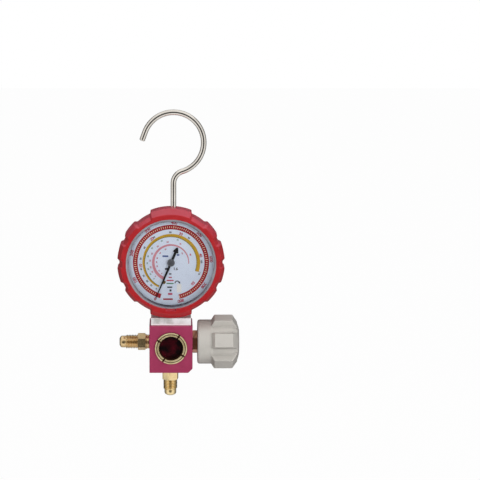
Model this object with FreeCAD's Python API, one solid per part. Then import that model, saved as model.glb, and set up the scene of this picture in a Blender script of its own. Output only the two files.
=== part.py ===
import FreeCAD, Part
import math
import os

# Single-valve manifold with a booted pressure gauge, a sight glass and a hanging hook.
# Millimetres. +Z is up, the dial faces -Y, +X is to the right of someone who reads the dial.
# The solids are built about the gauge's centre line, then moved so that the origin is the
# point inside the hook's loop that bears on a nail or a rail.

V = FreeCAD.Vector
X_AXIS = V(1, 0, 0)
Y_AXIS = V(0, 1, 0)
Z_AXIS = V(0, 0, 1)

# Clearances
running_gap = 0.05
assembly_gap = 0.15
seat_gap = 0.02

# Hook
wire_d = 4.4
loop_r = 23.6
lower_bend_r = 9.7
tip_angle = 160.0
tip_length = 7.0
tip_round = 0.8
hook_offset = 1.9
hook_head_r = 4.2
hook_head_h = 1.3
hook_washer_r = 4.9
hook_washer_h = 0.6

# Gauge, measured from its own centre
gauge_drop = 115.1
case_r = 38.0
case_wall = 0.9
case_front = -10.4
case_back = 11.1
case_ledge_w = 2.1
case_ledge_front = -9.2
case_ledge_h = 0.9
bezel_wall = 0.85
bezel_lip_w = 5.65
bezel_bead_w = 3.45
bezel_bead_front = -14.9
bezel_front = -13.0
bezel_skirt_back = -8.8
lens_h = 1.8
dial_margin = 2.9
dial_front = -6.6
dial_h = 0.8
dial_post_x = 4.4
dial_post_z = -5.5

# Boot
boot_wall = 2.4
boot_lobe_rise = 1.8
boot_wide_lobe_rise = 2.8
boot_front = -16.5
boot_back = 13.0
boot_lip_w = 5.1
boot_rear_lip_w = 5.0
boot_slope_back = -8.5
boot_rear_bevel = 5.2
boot_taper_back = 6.0
boot_skirt_gap = 0.2
wide_lobe_half = 22.5
small_lobe_half = 9.0
small_lobe_angles = (13.0, 39.0)
lobe_ramp = 1.6
boot_notch_w = 8.0
boot_notch_h = 1.6
hook_hole_gap = 0.3

# Dial works: pinion, sector, link and Bourdon tube
gear_module = 0.3
pinion_teeth = 12
sector_ratio = 8
tooth_share = 0.40
tooth_tip_share = 0.20
addendum = 0.25
dedendum = 0.36
sector_h = 1.0
sector_front = -0.6
sector_start = -4.0
sector_span = 49.0
sector_rim = 2.2
sector_hub_r = 2.4
tail_arm = 4.5
tail_angle = -36.0
tail_eye_r = 1.5
link_h = 0.5
link_gap = 0.3
link_w = 1.4
link_pin_r = 0.5
link_pin_head_r = 0.85
link_eye_r = 1.5
open_eye_gap = 0.35
tube_margin = 8.1
tube_w = 6.4
tube_t = 3.2
tube_wall = 0.45
tube_root_angle = -102.0
tube_tip_angle = -15.0
tip_cap_angle = 6.0
tip_cap_rim = 0.5
ear_x = 18.5
ear_z = -5.5
ear_w = 3.4
ear_h = 1.2
arbor_r = 0.6
arbor_journal_r = 0.45
collet_r = 1.15
sector_arbor_r = 0.7
plate_h = 1.0
front_plate_front = -4.4
rear_plate_front = 3.6
plate_top = 9.4
plate_neck = 3.2
plate_shoulder_z = -18.0
plate_shoulder = 9.0
plate_shoulder_rise = 2.2
plate_foot = 4.6
pillar_r = 1.2
pillar_low_x = 7.2
pillar_top_z = 6.6
pillar_left_rise = 5.2
pillar_right_rise = 2.7
spring_r = 1.45
spring_pitch = 1.0
spring_t = 0.2
spring_w = 0.8
spring_front = -2.9
spring_half_turns = 7

# Pointer and zero screw, angles clockwise from straight down
pointer_rest = 23.0
pointer_margin = 3.3
pointer_tail_r = 13.1
pointer_head_w = 3.6
pointer_head_l = 4.2
pointer_bar_w = 1.9
pointer_tip_w = 0.4
pointer_h = 0.4
pointer_front = -8.4
pointer_hub_r = 3.0
pointer_hub_h = 1.8
pointer_cap_r = 1.5
zero_x = -5.5
zero_z = -15.8
zero_head_r = 1.3
zero_head_h = 0.7
zero_shank_r = 0.7
zero_slot = 0.4

# Gauge socket and stem
socket_half = 6.0
socket_y = 5.5
socket_top_rise = 6.4
tongue_screw_r = 0.8
tongue_screw_head_r = 1.5
tongue_screw_head_h = 0.9
tongue_screw_x = 2.6
tongue_screw_rise = 3.9
tongue_margin = 1.9
shank_af = 11.0
stem_thread_r = 4.85
stem_thread_l = 9.0
stem_seal_h = 0.8
socket_bore_r = 1.4
restrictor_r = 2.2
restrictor_l = 4.0
restrictor_hole_r = 0.5
case_screw_r = 1.5
case_screw_head_r = 2.4
case_screw_head_h = 1.4
case_screw_x = 3.4
case_screw_margin = 5.6
case_screw_l = 6.0
case_spacer_r = 2.3

# Block, measured down from the gauge's centre and from the block's own top
block_top_drop = 49.3
block_w = 34.1
block_h = 38.0
block_d = 30.0
block_corner = 3.4
block_edge = 0.4
neck_w = 31.6
neck_d = 23.0
neck_gap = 0.6
valve_drop = 15.9
sight_drop = 17.9
lower_port_x = -0.5
duct_r = 1.6

# Male flare ports
flare_thread_r = 5.55
flare_nose_r = 4.7
flare_tip_r = 3.1
flare_bore_r = 2.3
flare_relief_r = 4.6
flare_relief_l = 0.5
port_af = 12.0
port_root_r = 4.9
port_root_l = 9.0
side_neck_r = 5.5
side_neck_l = 2.0
side_collar_r = 5.8
side_collar_l = 1.2
side_hex_l = 6.2
side_thread_l = 9.3
side_nose_l = 5.2
lower_hex_l = 8.4
lower_thread_l = 7.6
lower_nose_l = 5.4
o_ring_d = 1.2
o_ring_squeeze = 0.1

# Sight glass
sight_ring_r = 12.75
sight_ring_proud = 1.8
sight_ring_bore = 9.1
sight_ring_chamfer = 0.8
sight_groove_r = 11.2
sight_groove_w = 0.6
sight_groove_h = 0.4
sight_thread_r = 11.3
sight_thread_l = 4.4
sight_slot_w = 1.4
sight_slot_h = 1.3
sight_slot_angle = 58.0
sight_lens_r = 10.4
sight_lens_h = 3.4
sight_seal_d = 0.9
sight_well_r = 6.5
sight_well_back = 3.0

# Valve
valve_bore_r = 4.5
valve_bore_end = -5.5
seat_orifice_r = 2.1
bonnet_af = 16.0
bonnet_hex_l = 4.7
bonnet_thread_r = 5.5
bonnet_thread_l = 9.0
bonnet_barrel_r = 6.6
bonnet_barrel_end = 30.0
bonnet_step_x = 15.0
stem_shank_r = 3.0
stem_screw_r = 4.0
stem_screw_x = 15.6
stem_screw_end = 31.0
stem_nose_r = 1.5
stem_nose_l = 2.4
stem_ring_x = 11.0
stem_ring_d = 0.9
piston_r = 3.4
piston_end_x = 1.2
piston_seal_r = 2.8
piston_seal_h = 2.0
piston_recess = 1.4

# Handwheel
wheel_start = 21.0
wheel_collar_r = 17.6
wheel_collar_round = 1.5
wheel_core_r = 17.2
lobe_foot_x = 31.6
lobe_top_x = 34.0
lobe_fall_x = 48.3
lobe_end_x = 52.6
wheel_end_x = 53.7
wheel_lobe_r = 21.4
wheel_end_r = 15.0
lobe_foot_half = 6.0
lobe_face_half = 5.5
lobe_count = 6
lobe_edge = 0.5
lobe_turn = 15.0
wheel_mouth_r = 13.4
wheel_cavity_end = 46.0
wheel_hub_r = 6.5
wheel_hub_start = 31.5
wheel_rib_t = 1.6
wheel_square = 5.4
wheel_square_end = 45.0
wheel_recess_r = 4.6
cap_r = 10.7
cap_h = 2.2
cap_pin_r = 4.4
cap_pin_l = 1.6
cap_edge = 0.5
wheel_screw_r = 1.45
wheel_screw_l = 8.0
wheel_screw_head_r = 2.8
wheel_screw_head_h = 2.0
wheel_washer_r = 4.2
wheel_washer_h = 0.8

# Places that follow from the sizes above
wire_r = wire_d / 2
loop_z = wire_r - loop_r
gauge_z = -gauge_drop
gauge_centre = V(0, 0, gauge_z)
case_inner_r = case_r - case_wall
case_ledge_r = case_inner_r - case_ledge_w
bezel_outer_r = case_r + bezel_wall
bezel_window_r = bezel_outer_r - bezel_lip_w
bezel_bead_r = bezel_outer_r - bezel_bead_w
boot_valley_r = case_r + boot_wall
boot_lobe_r = boot_valley_r + boot_lobe_rise
boot_wide_lobe_r = boot_valley_r + boot_wide_lobe_rise
boot_window_r = boot_valley_r - boot_lip_w
boot_rear_window_r = boot_valley_r - boot_rear_lip_w
dial_r = case_inner_r - dial_margin
tube_r = case_inner_r - tube_margin
pointer_tip_r = dial_r - pointer_margin
case_screw_z = case_screw_margin - case_r
tongue_screw_z = case_screw_z + tongue_screw_rise
socket_top = case_screw_z + socket_top_rise
pillar_low_left_z = socket_top + pillar_left_rise
pillar_low_right_z = socket_top + pillar_right_rise
lens_front = bezel_front + bezel_wall
lens_back = lens_front + lens_h
dial_back = dial_front + dial_h
case_inner_back = case_back - case_wall
pitch_pinion = gear_module * pinion_teeth / 2
sector_teeth = pinion_teeth * sector_ratio
pitch_sector = gear_module * sector_teeth / 2
sector_z = -(pitch_pinion + pitch_sector)
front_plate_back = front_plate_front + plate_h
rear_plate_back = rear_plate_front + plate_h
link_front = sector_front - link_gap - link_h
block_top = gauge_z - block_top_drop
block_bottom = block_top - block_h
block_front = -block_d / 2
neck_top = gauge_z - boot_wide_lobe_r - neck_gap
valve_z = block_top - valve_drop
sight_z = block_top - sight_drop
bonnet_x = block_w / 2


def placed(shape, origin, direction):
    """Turn a shape built along +Z to a direction and put its start at the origin given."""
    if direction == -Z_AXIS:
        turn = FreeCAD.Rotation(X_AXIS, 180)
    else:
        turn = FreeCAD.Rotation(Z_AXIS, direction)
    moved = shape.copy()
    moved.transformShape(FreeCAD.Placement(origin, turn).toMatrix())
    return moved


def turned(profile, origin=V(0, 0, 0), direction=Z_AXIS):
    """A body of revolution from (radius, station) corners along an axis."""
    corners = [V(radius, 0, station) for radius, station in profile]
    face = Part.Face(Part.makePolygon(corners + corners[:1]))
    return placed(face.revolve(V(0, 0, 0), Z_AXIS, 360), origin, direction)


def rod(radius, length, origin, direction):
    return placed(Part.makeCylinder(radius, length), origin, direction)


def pipe(outer, inner, length, origin, direction):
    profile = [(inner, 0), (outer, 0), (outer, length), (inner, length)]
    return turned(profile, origin, direction)


def hexagon(across_flats, length, origin, direction, turn=0.0):
    """A hexagonal prism whose corners lie at turn, turn + 60 and so on, about its axis."""
    corner_r = across_flats / math.sqrt(3)
    corners = []
    for side in range(6):
        angle = math.radians(turn + 60 * side)
        corners.append(V(corner_r * math.cos(angle), corner_r * math.sin(angle), 0))
    face = Part.Face(Part.makePolygon(corners + corners[:1]))
    return placed(face.extrude(V(0, 0, length)), origin, direction)


def box(low, high):
    size = high - low
    return Part.makeBox(size.x, size.y, size.z, low)


def ring_cord(centre_r, cord_d, origin, direction):
    """A seal ring, centred on its origin, with a six-sided section for its round cord."""
    half = cord_d / 2
    slope = half * math.tan(math.radians(30))
    section = [(centre_r - half, -slope), (centre_r, -half), (centre_r + half, -slope),
               (centre_r + half, slope), (centre_r, half), (centre_r - half, slope)]
    return turned(section, origin, direction)


def polar(radius, degrees, y=0.0):
    """A point about the gauge's centre, degrees counted anticlockwise from +X."""
    angle = math.radians(degrees)
    return V(radius * math.cos(angle), y, gauge_z + radius * math.sin(angle))


def plate_face(corners, y):
    points = [V(x, y, gauge_z + z) for x, z in corners]
    return Part.Face(Part.makePolygon(points + points[:1]))


def slab(corners, front, thickness):
    """A flat plate in the plane of the dial, from (x, z) corners about the gauge's centre."""
    return plate_face(corners, front).extrude(V(0, thickness, 0))


def disc(radius, thickness, x, front, z):
    return rod(radius, thickness, V(x, front, gauge_z + z), Y_AXIS)


def about_gauge(profile):
    """A body of revolution about the gauge's axis, from (radius, y) corners."""
    return turned(profile, gauge_centre, Y_AXIS)


def arc_edge(radius, start, end, y):
    middle = (start + end) / 2
    return Part.Arc(polar(radius, start, y), polar(radius, middle, y), polar(radius, end, y)).toShape()


def clockwise(radius, degrees):
    """(x, z) at an angle counted clockwise from straight down, as a dial is read."""
    angle = math.radians(degrees)
    return -radius * math.sin(angle), -radius * math.cos(angle)


def wire_bend(centre, start, degrees):
    """A bend of the wire: its section at the start, turned about the bend's centre."""
    reach = start - centre
    section = Part.Face(Part.Wire(Part.makeCircle(wire_r, start, reach.cross(Y_AXIS))))
    return section.revolve(centre, Y_AXIS, degrees)


def hook():
    """One bent wire: a tip, a large loop, a reverse bend, and a stem that ends in a flat head."""
    reach = loop_r + lower_bend_r
    exit_angle = math.degrees(math.acos(lower_bend_r / reach))
    drop = reach * math.sin(math.radians(exit_angle))
    centre = V(hook_offset, 0, loop_z)
    bend_centre = V(hook_offset + lower_bend_r, 0, loop_z - drop)
    tip_turn = math.radians(tip_angle)
    tip_start = centre + V(math.cos(tip_turn), 0, math.sin(tip_turn)) * loop_r
    tip_way = V(-math.sin(tip_turn), 0, math.cos(tip_turn))
    stem_top = bend_centre - V(lower_bend_r, 0, 0)
    stem_bottom = V(hook_offset, 0, gauge_z + case_r + 2 * assembly_gap)
    straight = tip_length - tip_round
    tip = turned([(0, 0), (wire_r, 0), (wire_r, straight), (wire_r - tip_round, tip_length),
                  (0, tip_length)], tip_start, tip_way)
    solids = [
        wire_bend(centre, tip_start, tip_angle + exit_angle),
        wire_bend(bend_centre, stem_top, exit_angle),
        rod(wire_r, (stem_top - stem_bottom).Length, stem_bottom, Z_AXIS),
        rod(hook_head_r, hook_head_h, stem_bottom, Z_AXIS),
    ]
    return tip.fuse(solids).removeSplitter()


def hook_head_top():
    return case_r + 2 * assembly_gap + hook_head_h


def hook_washer():
    bottom = V(hook_offset, 0, gauge_z + hook_head_top() + running_gap)
    return pipe(hook_washer_r, wire_r + running_gap, hook_washer_h, bottom, Z_AXIS)


def lobes():
    """Centre angle, half width and radius of each lobe of the boot, in turn order."""
    small = []
    for angle in small_lobe_angles:
        small += [angle, 180 - angle, 180 + angle, 360 - angle]
    found = [(angle, small_lobe_half, boot_lobe_r) for angle in small]
    found += [(angle, wide_lobe_half, boot_wide_lobe_r) for angle in (90.0, 270.0)]
    return sorted(found)


def boot_outline():
    """Ten lobes as arcs on their own radii, with short ramps down to the valleys."""
    edges = []
    ring = lobes()
    for index, (angle, half, radius) in enumerate(ring):
        next_angle, next_half, next_radius = ring[(index + 1) % len(ring)]
        if next_angle < angle:
            next_angle += 360
        start = angle - half + lobe_ramp / 2
        end = angle + half - lobe_ramp / 2
        valley_start = angle + half + lobe_ramp / 2
        valley_end = next_angle - next_half - lobe_ramp / 2
        next_start = next_angle - next_half + lobe_ramp / 2
        edges.append(arc_edge(radius, start, end, boot_front))
        edges.append(Part.makeLine(polar(radius, end, boot_front),
                                   polar(boot_valley_r, valley_start, boot_front)))
        edges.append(arc_edge(boot_valley_r, valley_start, valley_end, boot_front))
        edges.append(Part.makeLine(polar(boot_valley_r, valley_end, boot_front),
                                   polar(next_radius, next_start, boot_front)))
    return Part.Face(Part.Wire(edges))


def gauge_boot():
    body = boot_outline().extrude(V(0, boot_back - boot_front, 0))
    envelope_r = boot_wide_lobe_r + 0.1
    envelope = about_gauge([
        (0, boot_front),
        (boot_valley_r - 0.2, boot_front),
        (envelope_r, boot_slope_back),
        (envelope_r, boot_taper_back),
        (envelope_r - boot_rear_bevel, boot_back),
        (0, boot_back),
    ])
    skirt_r = case_r + boot_skirt_gap
    groove_r = bezel_outer_r + boot_skirt_gap
    lip_back = bezel_front - boot_skirt_gap
    hollow = about_gauge([
        (0, boot_front - 1),
        (boot_window_r, boot_front - 1),
        (boot_window_r, bezel_bead_front - boot_skirt_gap),
        (bezel_bead_r + boot_skirt_gap, bezel_bead_front - boot_skirt_gap),
        (bezel_bead_r + boot_skirt_gap, lip_back),
        (groove_r, lip_back),
        (groove_r, bezel_skirt_back + boot_skirt_gap),
        (skirt_r, bezel_skirt_back + boot_skirt_gap),
        (skirt_r, case_back + boot_skirt_gap),
        (boot_rear_window_r, case_back + boot_skirt_gap),
        (boot_rear_window_r, boot_back + 1),
        (0, boot_back + 1),
    ])
    body = body.common(envelope).cut(hollow)
    pocket_h = hook_head_top() + 2 * running_gap + hook_washer_h
    pocket = rod(hook_washer_r + assembly_gap, pocket_h, V(hook_offset, 0, gauge_z), Z_AXIS)
    hole = rod(wire_r + hook_hole_gap, boot_wide_lobe_r + 1, V(hook_offset, 0, gauge_z), Z_AXIS)
    corner_r = shank_af / math.sqrt(2)
    stem_hole = rod(corner_r + assembly_gap, boot_wide_lobe_r + 1, gauge_centre, -Z_AXIS)
    notch_half = V(boot_notch_w / 2, 0, 0)
    notch_low = V(0, boot_front - 1, gauge_z - boot_window_r - boot_notch_h)
    notch_high = V(0, lip_back + 1, gauge_z)
    notch = box(notch_low - notch_half, notch_high + notch_half)
    for tool in (pocket, hole, stem_hole, notch):
        body = body.cut(tool)
    return body.removeSplitter()


def gauge_case():
    cup = about_gauge([
        (case_r, case_front),
        (case_r, case_back),
        (0, case_back),
        (0, case_inner_back),
        (case_inner_r, case_inner_back),
        (case_inner_r, case_ledge_front + case_ledge_h),
        (case_ledge_r, case_ledge_front + case_ledge_h),
        (case_ledge_r, case_ledge_front),
        (case_inner_r, case_ledge_front),
        (case_inner_r, case_front),
    ])
    half = shank_af / 2 + assembly_gap
    hole = box(V(-half, -half, gauge_z - case_r - 1), V(half, half, gauge_z - case_r + 5))
    cup = cup.cut(hole)
    for x in (-case_screw_x, case_screw_x):
        cup = cup.cut(disc(case_screw_r + assembly_gap, 2 * case_wall + 1, x,
                           case_inner_back - case_wall, case_screw_z))
    return cup


def bezel_ring():
    skirt_r = case_r + running_gap
    bead_inner = bezel_front + bezel_wall
    return about_gauge([
        (bezel_outer_r, bezel_skirt_back),
        (bezel_outer_r, bezel_front + 0.5),
        (bezel_outer_r - 0.5, bezel_front),
        (bezel_bead_r, bezel_front),
        (bezel_bead_r, bezel_bead_front + 0.5),
        (bezel_bead_r - 0.6, bezel_bead_front),
        (bezel_window_r + 0.8, bezel_bead_front),
        (bezel_window_r, bezel_bead_front + 0.9),
        (bezel_window_r, bead_inner),
        (skirt_r, bead_inner),
        (skirt_r, bezel_skirt_back),
    ])


def gauge_lens():
    edge_r = case_inner_r - assembly_gap
    return about_gauge([(0, lens_front), (edge_r, lens_front), (edge_r, lens_back), (0, lens_back)])


def lens_gasket():
    edge_r = case_inner_r - assembly_gap
    return about_gauge([
        (case_ledge_r, lens_back),
        (edge_r, lens_back),
        (edge_r, case_ledge_front),
        (case_ledge_r, case_ledge_front),
    ])


def dial_plate():
    plate = disc(dial_r, dial_h, 0, dial_front, 0)
    arbor_hole = disc(arbor_r + 3 * assembly_gap, dial_h + 1, 0, dial_front - 0.5, 0)
    zero_hole = disc(zero_shank_r + running_gap, dial_h + 1, zero_x, dial_front - 0.5, zero_z)
    return plate.cut(arbor_hole).cut(zero_hole)


def dial_posts():
    """Two studs on the back of the dial that stand on the front plate of the movement."""
    posts = [disc(pillar_r, front_plate_front - dial_back, x, dial_back, dial_post_z)
             for x in (-dial_post_x, dial_post_x)]
    return Part.makeCompound(posts)


def plate_outline():
    shoulder_low = socket_top + plate_shoulder_rise
    return [
        (-plate_neck, plate_top), (plate_neck, plate_top),
        (plate_shoulder, plate_shoulder_z), (plate_shoulder, shoulder_low),
        (plate_foot, socket_top - 1), (plate_foot, tongue_screw_z - tongue_margin),
        (-plate_foot, tongue_screw_z - tongue_margin), (-plate_foot, socket_top - 1),
        (-plate_shoulder, shoulder_low), (-plate_shoulder, plate_shoulder_z),
    ]


def movement_plate(front):
    """One plate of the movement: the pivot holes, the screw holes and softened corners."""
    plate = slab(plate_outline(), front, plate_h)
    upright = [edge for edge in plate.Edges if abs(edge.Length - plate_h) < 1e-6]
    plate = plate.makeFillet(1.2, upright)
    holes = [
        (arbor_journal_r + running_gap, 0, 0),
        (sector_arbor_r + running_gap, 0, sector_z),
        (tongue_screw_r + running_gap, -tongue_screw_x, tongue_screw_z),
        (tongue_screw_r + running_gap, tongue_screw_x, tongue_screw_z),
    ]
    for radius, x, z in holes:
        plate = plate.cut(disc(radius, plate_h + 2, x, front - 1, z))
    return plate


def movement_front_plate():
    plate = movement_plate(front_plate_front)
    arbor_hole = disc(arbor_r + running_gap, plate_h + 2, 0, front_plate_front - 1, 0)
    zero_hole = disc(zero_shank_r + running_gap, plate_h + 2, zero_x, front_plate_front - 1, zero_z)
    return plate.cut(arbor_hole).cut(zero_hole)


def pillar_places():
    return [(0, pillar_top_z), (-pillar_low_x, pillar_low_left_z), (pillar_low_x, pillar_low_right_z)]


def movement_pillars():
    length = rear_plate_front - front_plate_back
    return Part.makeCompound([disc(pillar_r, length, x, front_plate_back, z)
                              for x, z in pillar_places()])


def movement_screws():
    """Two long screws that hold both plates to the tongue of the socket."""
    length = rear_plate_back - front_plate_front
    screws = []
    for x in (-tongue_screw_x, tongue_screw_x):
        head_front = front_plate_front - tongue_screw_head_h
        head = disc(tongue_screw_head_r, tongue_screw_head_h, x, head_front, tongue_screw_z)
        slot = box(V(x - tongue_screw_head_r, head_front - 1, gauge_z + tongue_screw_z - 0.2),
                   V(x + tongue_screw_head_r, head_front + 0.4, gauge_z + tongue_screw_z + 0.2))
        shank = disc(tongue_screw_r, length, x, front_plate_front, tongue_screw_z)
        screws.append(head.cut(slot).fuse(shank).removeSplitter())
    return Part.makeCompound(screws)


def tooth_profile(pitch_r, teeth, index, phase):
    """Four corners of one tooth as (radius, degrees); thinner than half a pitch for backlash."""
    step = 360.0 / teeth
    centre = phase + index * step
    half_root = step * (1 - tooth_tip_share) / 4
    half_tip = step * tooth_tip_share / 2
    half_pitch = step * tooth_share / 2
    spread = (half_pitch - half_tip) * dedendum / addendum
    half_root = min(half_root, half_pitch + spread)
    root = pitch_r - dedendum
    tip = pitch_r + addendum
    return [(root, centre - half_root), (tip, centre - half_tip),
            (tip, centre + half_tip), (root, centre + half_root)]


def pinion_arbor():
    """A pinion cut from the solid with its arbor, journals and hairspring collet."""
    corners = []
    for index in range(pinion_teeth):
        for radius, degrees in tooth_profile(pitch_pinion, pinion_teeth, index, 90 + 180 / pinion_teeth):
            angle = math.radians(degrees)
            corners.append((radius * math.cos(angle), radius * math.sin(angle)))
    pinion = slab(corners, sector_front - 0.3, sector_h + 0.6)
    front = pointer_front - 0.4
    shaft = disc(arbor_r, rear_plate_front - running_gap - front, 0, front, 0)
    journal = disc(arbor_journal_r, plate_h, 0, rear_plate_front - running_gap, 0)
    collet = disc(collet_r, spring_w + 0.6, 0, spring_front - 0.2, 0)
    return pinion.fuse([shaft, journal, collet]).removeSplitter()


def sector_point(radius, degrees):
    angle = math.radians(degrees)
    return radius * math.cos(angle), sector_z + radius * math.sin(angle)


def sector_gear():
    """Toothed rim on two arms, with a tail that the link pulls."""
    step = 360.0 / sector_teeth
    first = 90 - sector_start
    count = int(sector_span / step)
    rim = []
    for index in range(count):
        tooth = tooth_profile(pitch_sector, sector_teeth, -index, 90 + step * round(-sector_start / step))
        rim += [sector_point(radius, degrees) for radius, degrees in reversed(tooth)]
    inner_r = pitch_sector - dedendum - sector_rim
    last = first - count * step
    fine = 6
    inner = [sector_point(inner_r, last + (first - last) * k / fine) for k in range(fine + 1)]
    body = slab(rim + inner, sector_front, sector_h)
    for degrees in (first - 3, last + 5):
        reach = inner_r + 0.6
        across = degrees + 90
        side = sector_point(1.5, across)
        other = sector_point(1.5, across + 180)
        far = sector_point(reach, degrees - 4)
        far_other = sector_point(reach, degrees + 4)
        body = body.fuse(slab([other, far, far_other, side], sector_front, sector_h))
    tail = sector_point(tail_arm, tail_angle)
    square = tail_angle + 90
    near = sector_point(sector_hub_r * 0.8, square)
    near_other = sector_point(sector_hub_r * 0.8, square + 180)
    offset = math.radians(square)
    end_half = tail_eye_r * 0.9
    tail_side = (tail[0] + end_half * math.cos(offset), tail[1] + end_half * math.sin(offset))
    tail_other = (tail[0] - end_half * math.cos(offset), tail[1] - end_half * math.sin(offset))
    parts = [
        slab([near_other, tail_other, tail_side, near], sector_front, sector_h),
        disc(tail_eye_r, sector_h, tail[0], sector_front, tail[1]),
        disc(sector_hub_r, sector_h, 0, sector_front, sector_z),
    ]
    pin_front = link_front - 0.3
    parts.append(disc(link_pin_r, sector_front - pin_front, tail[0], pin_front, tail[1]))
    body = body.fuse(parts)
    return body.cut(disc(sector_arbor_r, sector_h + 2, 0, sector_front - 1, sector_z)).removeSplitter()


def sector_arbor():
    length = rear_plate_back - front_plate_front
    return disc(sector_arbor_r, length, 0, front_plate_front, sector_z)


def tail_point():
    return sector_point(tail_arm, tail_angle)


def link():
    """A flat bar with a close eye on the tube's pin and a wider eye over the sector's pin."""
    x0, z0 = ear_x, ear_z
    x1, z1 = tail_point()
    length = math.hypot(x1 - x0, z1 - z0)
    ux, uz = (x1 - x0) / length, (z1 - z0) / length
    half = link_w / 2
    bar = slab([(x0 - uz * half, z0 + ux * half), (x0 + uz * half, z0 - ux * half),
                (x1 + uz * half, z1 - ux * half), (x1 - uz * half, z1 + ux * half)],
               link_front, link_h)
    eyes = [disc(link_eye_r, link_h, x, link_front, z) for x, z in ((x0, z0), (x1, z1))]
    body = bar.fuse(eyes).removeSplitter()
    close = disc(link_pin_r + running_gap, link_h + 2, x0, link_front - 1, z0)
    wide = disc(link_pin_r + open_eye_gap, link_h + 2, x1, link_front - 1, z1)
    return body.cut(close).cut(wide)


def tube_section(grow):
    """The flattened section of the Bourdon tube, with its round sides as three flats each."""
    half_t = tube_t / 2 + grow
    half_w = tube_w / 2 + grow
    flat = half_w - half_t
    knee = half_t * 0.5
    corners = [(-half_t, -flat), (-knee, -half_w), (knee, -half_w), (half_t, -flat),
               (half_t, flat), (knee, half_w), (-knee, half_w), (-half_t, flat)]
    points = [V(tube_r + x, y, 0) for x, y in corners]
    return Part.Face(Part.makePolygon(points + points[:1]))


def tube_sweep(grow, start, end):
    """The tube's section turned clockwise about the gauge's axis from one angle to another."""
    face = tube_section(grow)
    face.rotate(V(0, 0, 0), Y_AXIS, -start)
    solid = face.revolve(V(0, 0, 0), Y_AXIS, start - end)
    solid.translate(gauge_centre)
    return solid


def bourdon_tube():
    outer = tube_sweep(0, tube_root_angle, tube_tip_angle - 360)
    inner = tube_sweep(-tube_wall, tube_root_angle + 1, tube_tip_angle - 361)
    return outer.cut(inner)


def tube_end():
    """The soldered cap on the free end of the tube, with the ear that carries the link."""
    cap = tube_sweep(tip_cap_rim, tube_tip_angle, tube_tip_angle - tip_cap_angle)
    start = polar(tube_r, tube_tip_angle - tip_cap_angle / 2)
    x1, z1 = start.x, start.z - gauge_z
    length = math.hypot(x1 - ear_x, z1 - ear_z)
    ux, uz = (x1 - ear_x) / length, (z1 - ear_z) / length
    near, far = ear_w * 0.4, ear_w * 0.36
    arm = slab([(ear_x - uz * near, ear_z + ux * near), (ear_x + uz * near, ear_z - ux * near),
                (x1 + uz * far, z1 - ux * far), (x1 - uz * far, z1 + ux * far)],
               sector_front, ear_h)
    eye = disc(ear_w / 2, ear_h, ear_x, sector_front, ear_z)
    hole = disc(link_pin_r, ear_h + 2, ear_x, sector_front - 1, ear_z)
    return cap.fuse([arm, eye]).removeSplitter().cut(hole)


def link_pin():
    head_front = link_front - running_gap - 0.4
    head = disc(link_pin_head_r, 0.4, ear_x, head_front, ear_z)
    shank = disc(link_pin_r, sector_front + ear_h - head_front - 0.4, ear_x, head_front + 0.4, ear_z)
    return head.fuse(shank).removeSplitter()


def hairspring():
    """A flat spiral of half circles, each one half a pitch larger than the last."""
    def side(radius_shift):
        arcs = []
        for k in range(spring_half_turns):
            centre = V(0, spring_front, 0) if k % 2 == 0 else V(-spring_pitch / 2, spring_front, 0)
            radius = spring_r + k * spring_pitch / 2 + radius_shift
            sign = 1 if k % 2 == 0 else -1
            arcs.append((centre + V(-sign * radius, 0, 0), centre + V(0, 0, sign * radius),
                         centre + V(sign * radius, 0, 0)))
        return arcs

    outer = side(spring_t / 2)
    inner = side(-spring_t / 2)
    edges = [Part.Arc(*arc).toShape() for arc in outer]
    edges.append(Part.makeLine(outer[-1][2], inner[-1][2]))
    edges += [Part.Arc(*arc).toShape() for arc in reversed(inner)]
    edges.append(Part.makeLine(inner[0][0], outer[0][0]))
    strip = Part.Face(Part.Wire(edges)).extrude(V(0, spring_w, 0))
    strip.rotate(V(0, 0, 0), Y_AXIS, -90)
    strip.translate(gauge_centre)
    return strip


def pointer():
    """A tapered needle with a bar and an arrow head behind its hub."""
    needle_half = pointer_bar_w / 2
    tip_half = pointer_tip_w / 2
    head_half = pointer_head_w / 2
    head_start = pointer_tail_r - pointer_head_l
    along = [
        (tip_half, pointer_tip_r), (needle_half, 0), (needle_half, -head_start),
        (head_half, -head_start - 0.3 * pointer_head_l), (0.3, -pointer_tail_r),
        (-0.3, -pointer_tail_r), (-head_half, -head_start - 0.3 * pointer_head_l),
        (-needle_half, -head_start), (-needle_half, 0), (-tip_half, pointer_tip_r),
    ]
    ahead = clockwise(1, pointer_rest)
    across = (-ahead[1], ahead[0])
    corners = [(s * across[0] + l * ahead[0], s * across[1] + l * ahead[1]) for s, l in along]
    blade = slab(corners, pointer_front, pointer_h)
    boss = disc(pointer_hub_r - 0.6, pointer_h, 0, pointer_front, 0)
    hole = disc(arbor_r, pointer_h + 2, 0, pointer_front - 1, 0)
    return blade.fuse(boss).removeSplitter().cut(hole)


def pointer_hub():
    """The pressed hub: a wide disc in front of the needle and a boss behind it."""
    front = pointer_front - 0.5
    hub = about_gauge([
        (0, front - 0.3), (pointer_cap_r, front - 0.3), (pointer_hub_r - 0.3, front),
        (pointer_hub_r, front + 0.2), (pointer_hub_r, pointer_front),
        (arbor_r, pointer_front), (arbor_r, front + 0.1), (0, front + 0.1),
    ])
    back = pointer_front + pointer_h
    boss = about_gauge([
        (arbor_r, back), (pointer_cap_r, back), (pointer_cap_r, back + pointer_hub_h - 1.0),
        (arbor_r, back + pointer_hub_h - 1.0),
    ])
    return Part.makeCompound([hub, boss])


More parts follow.
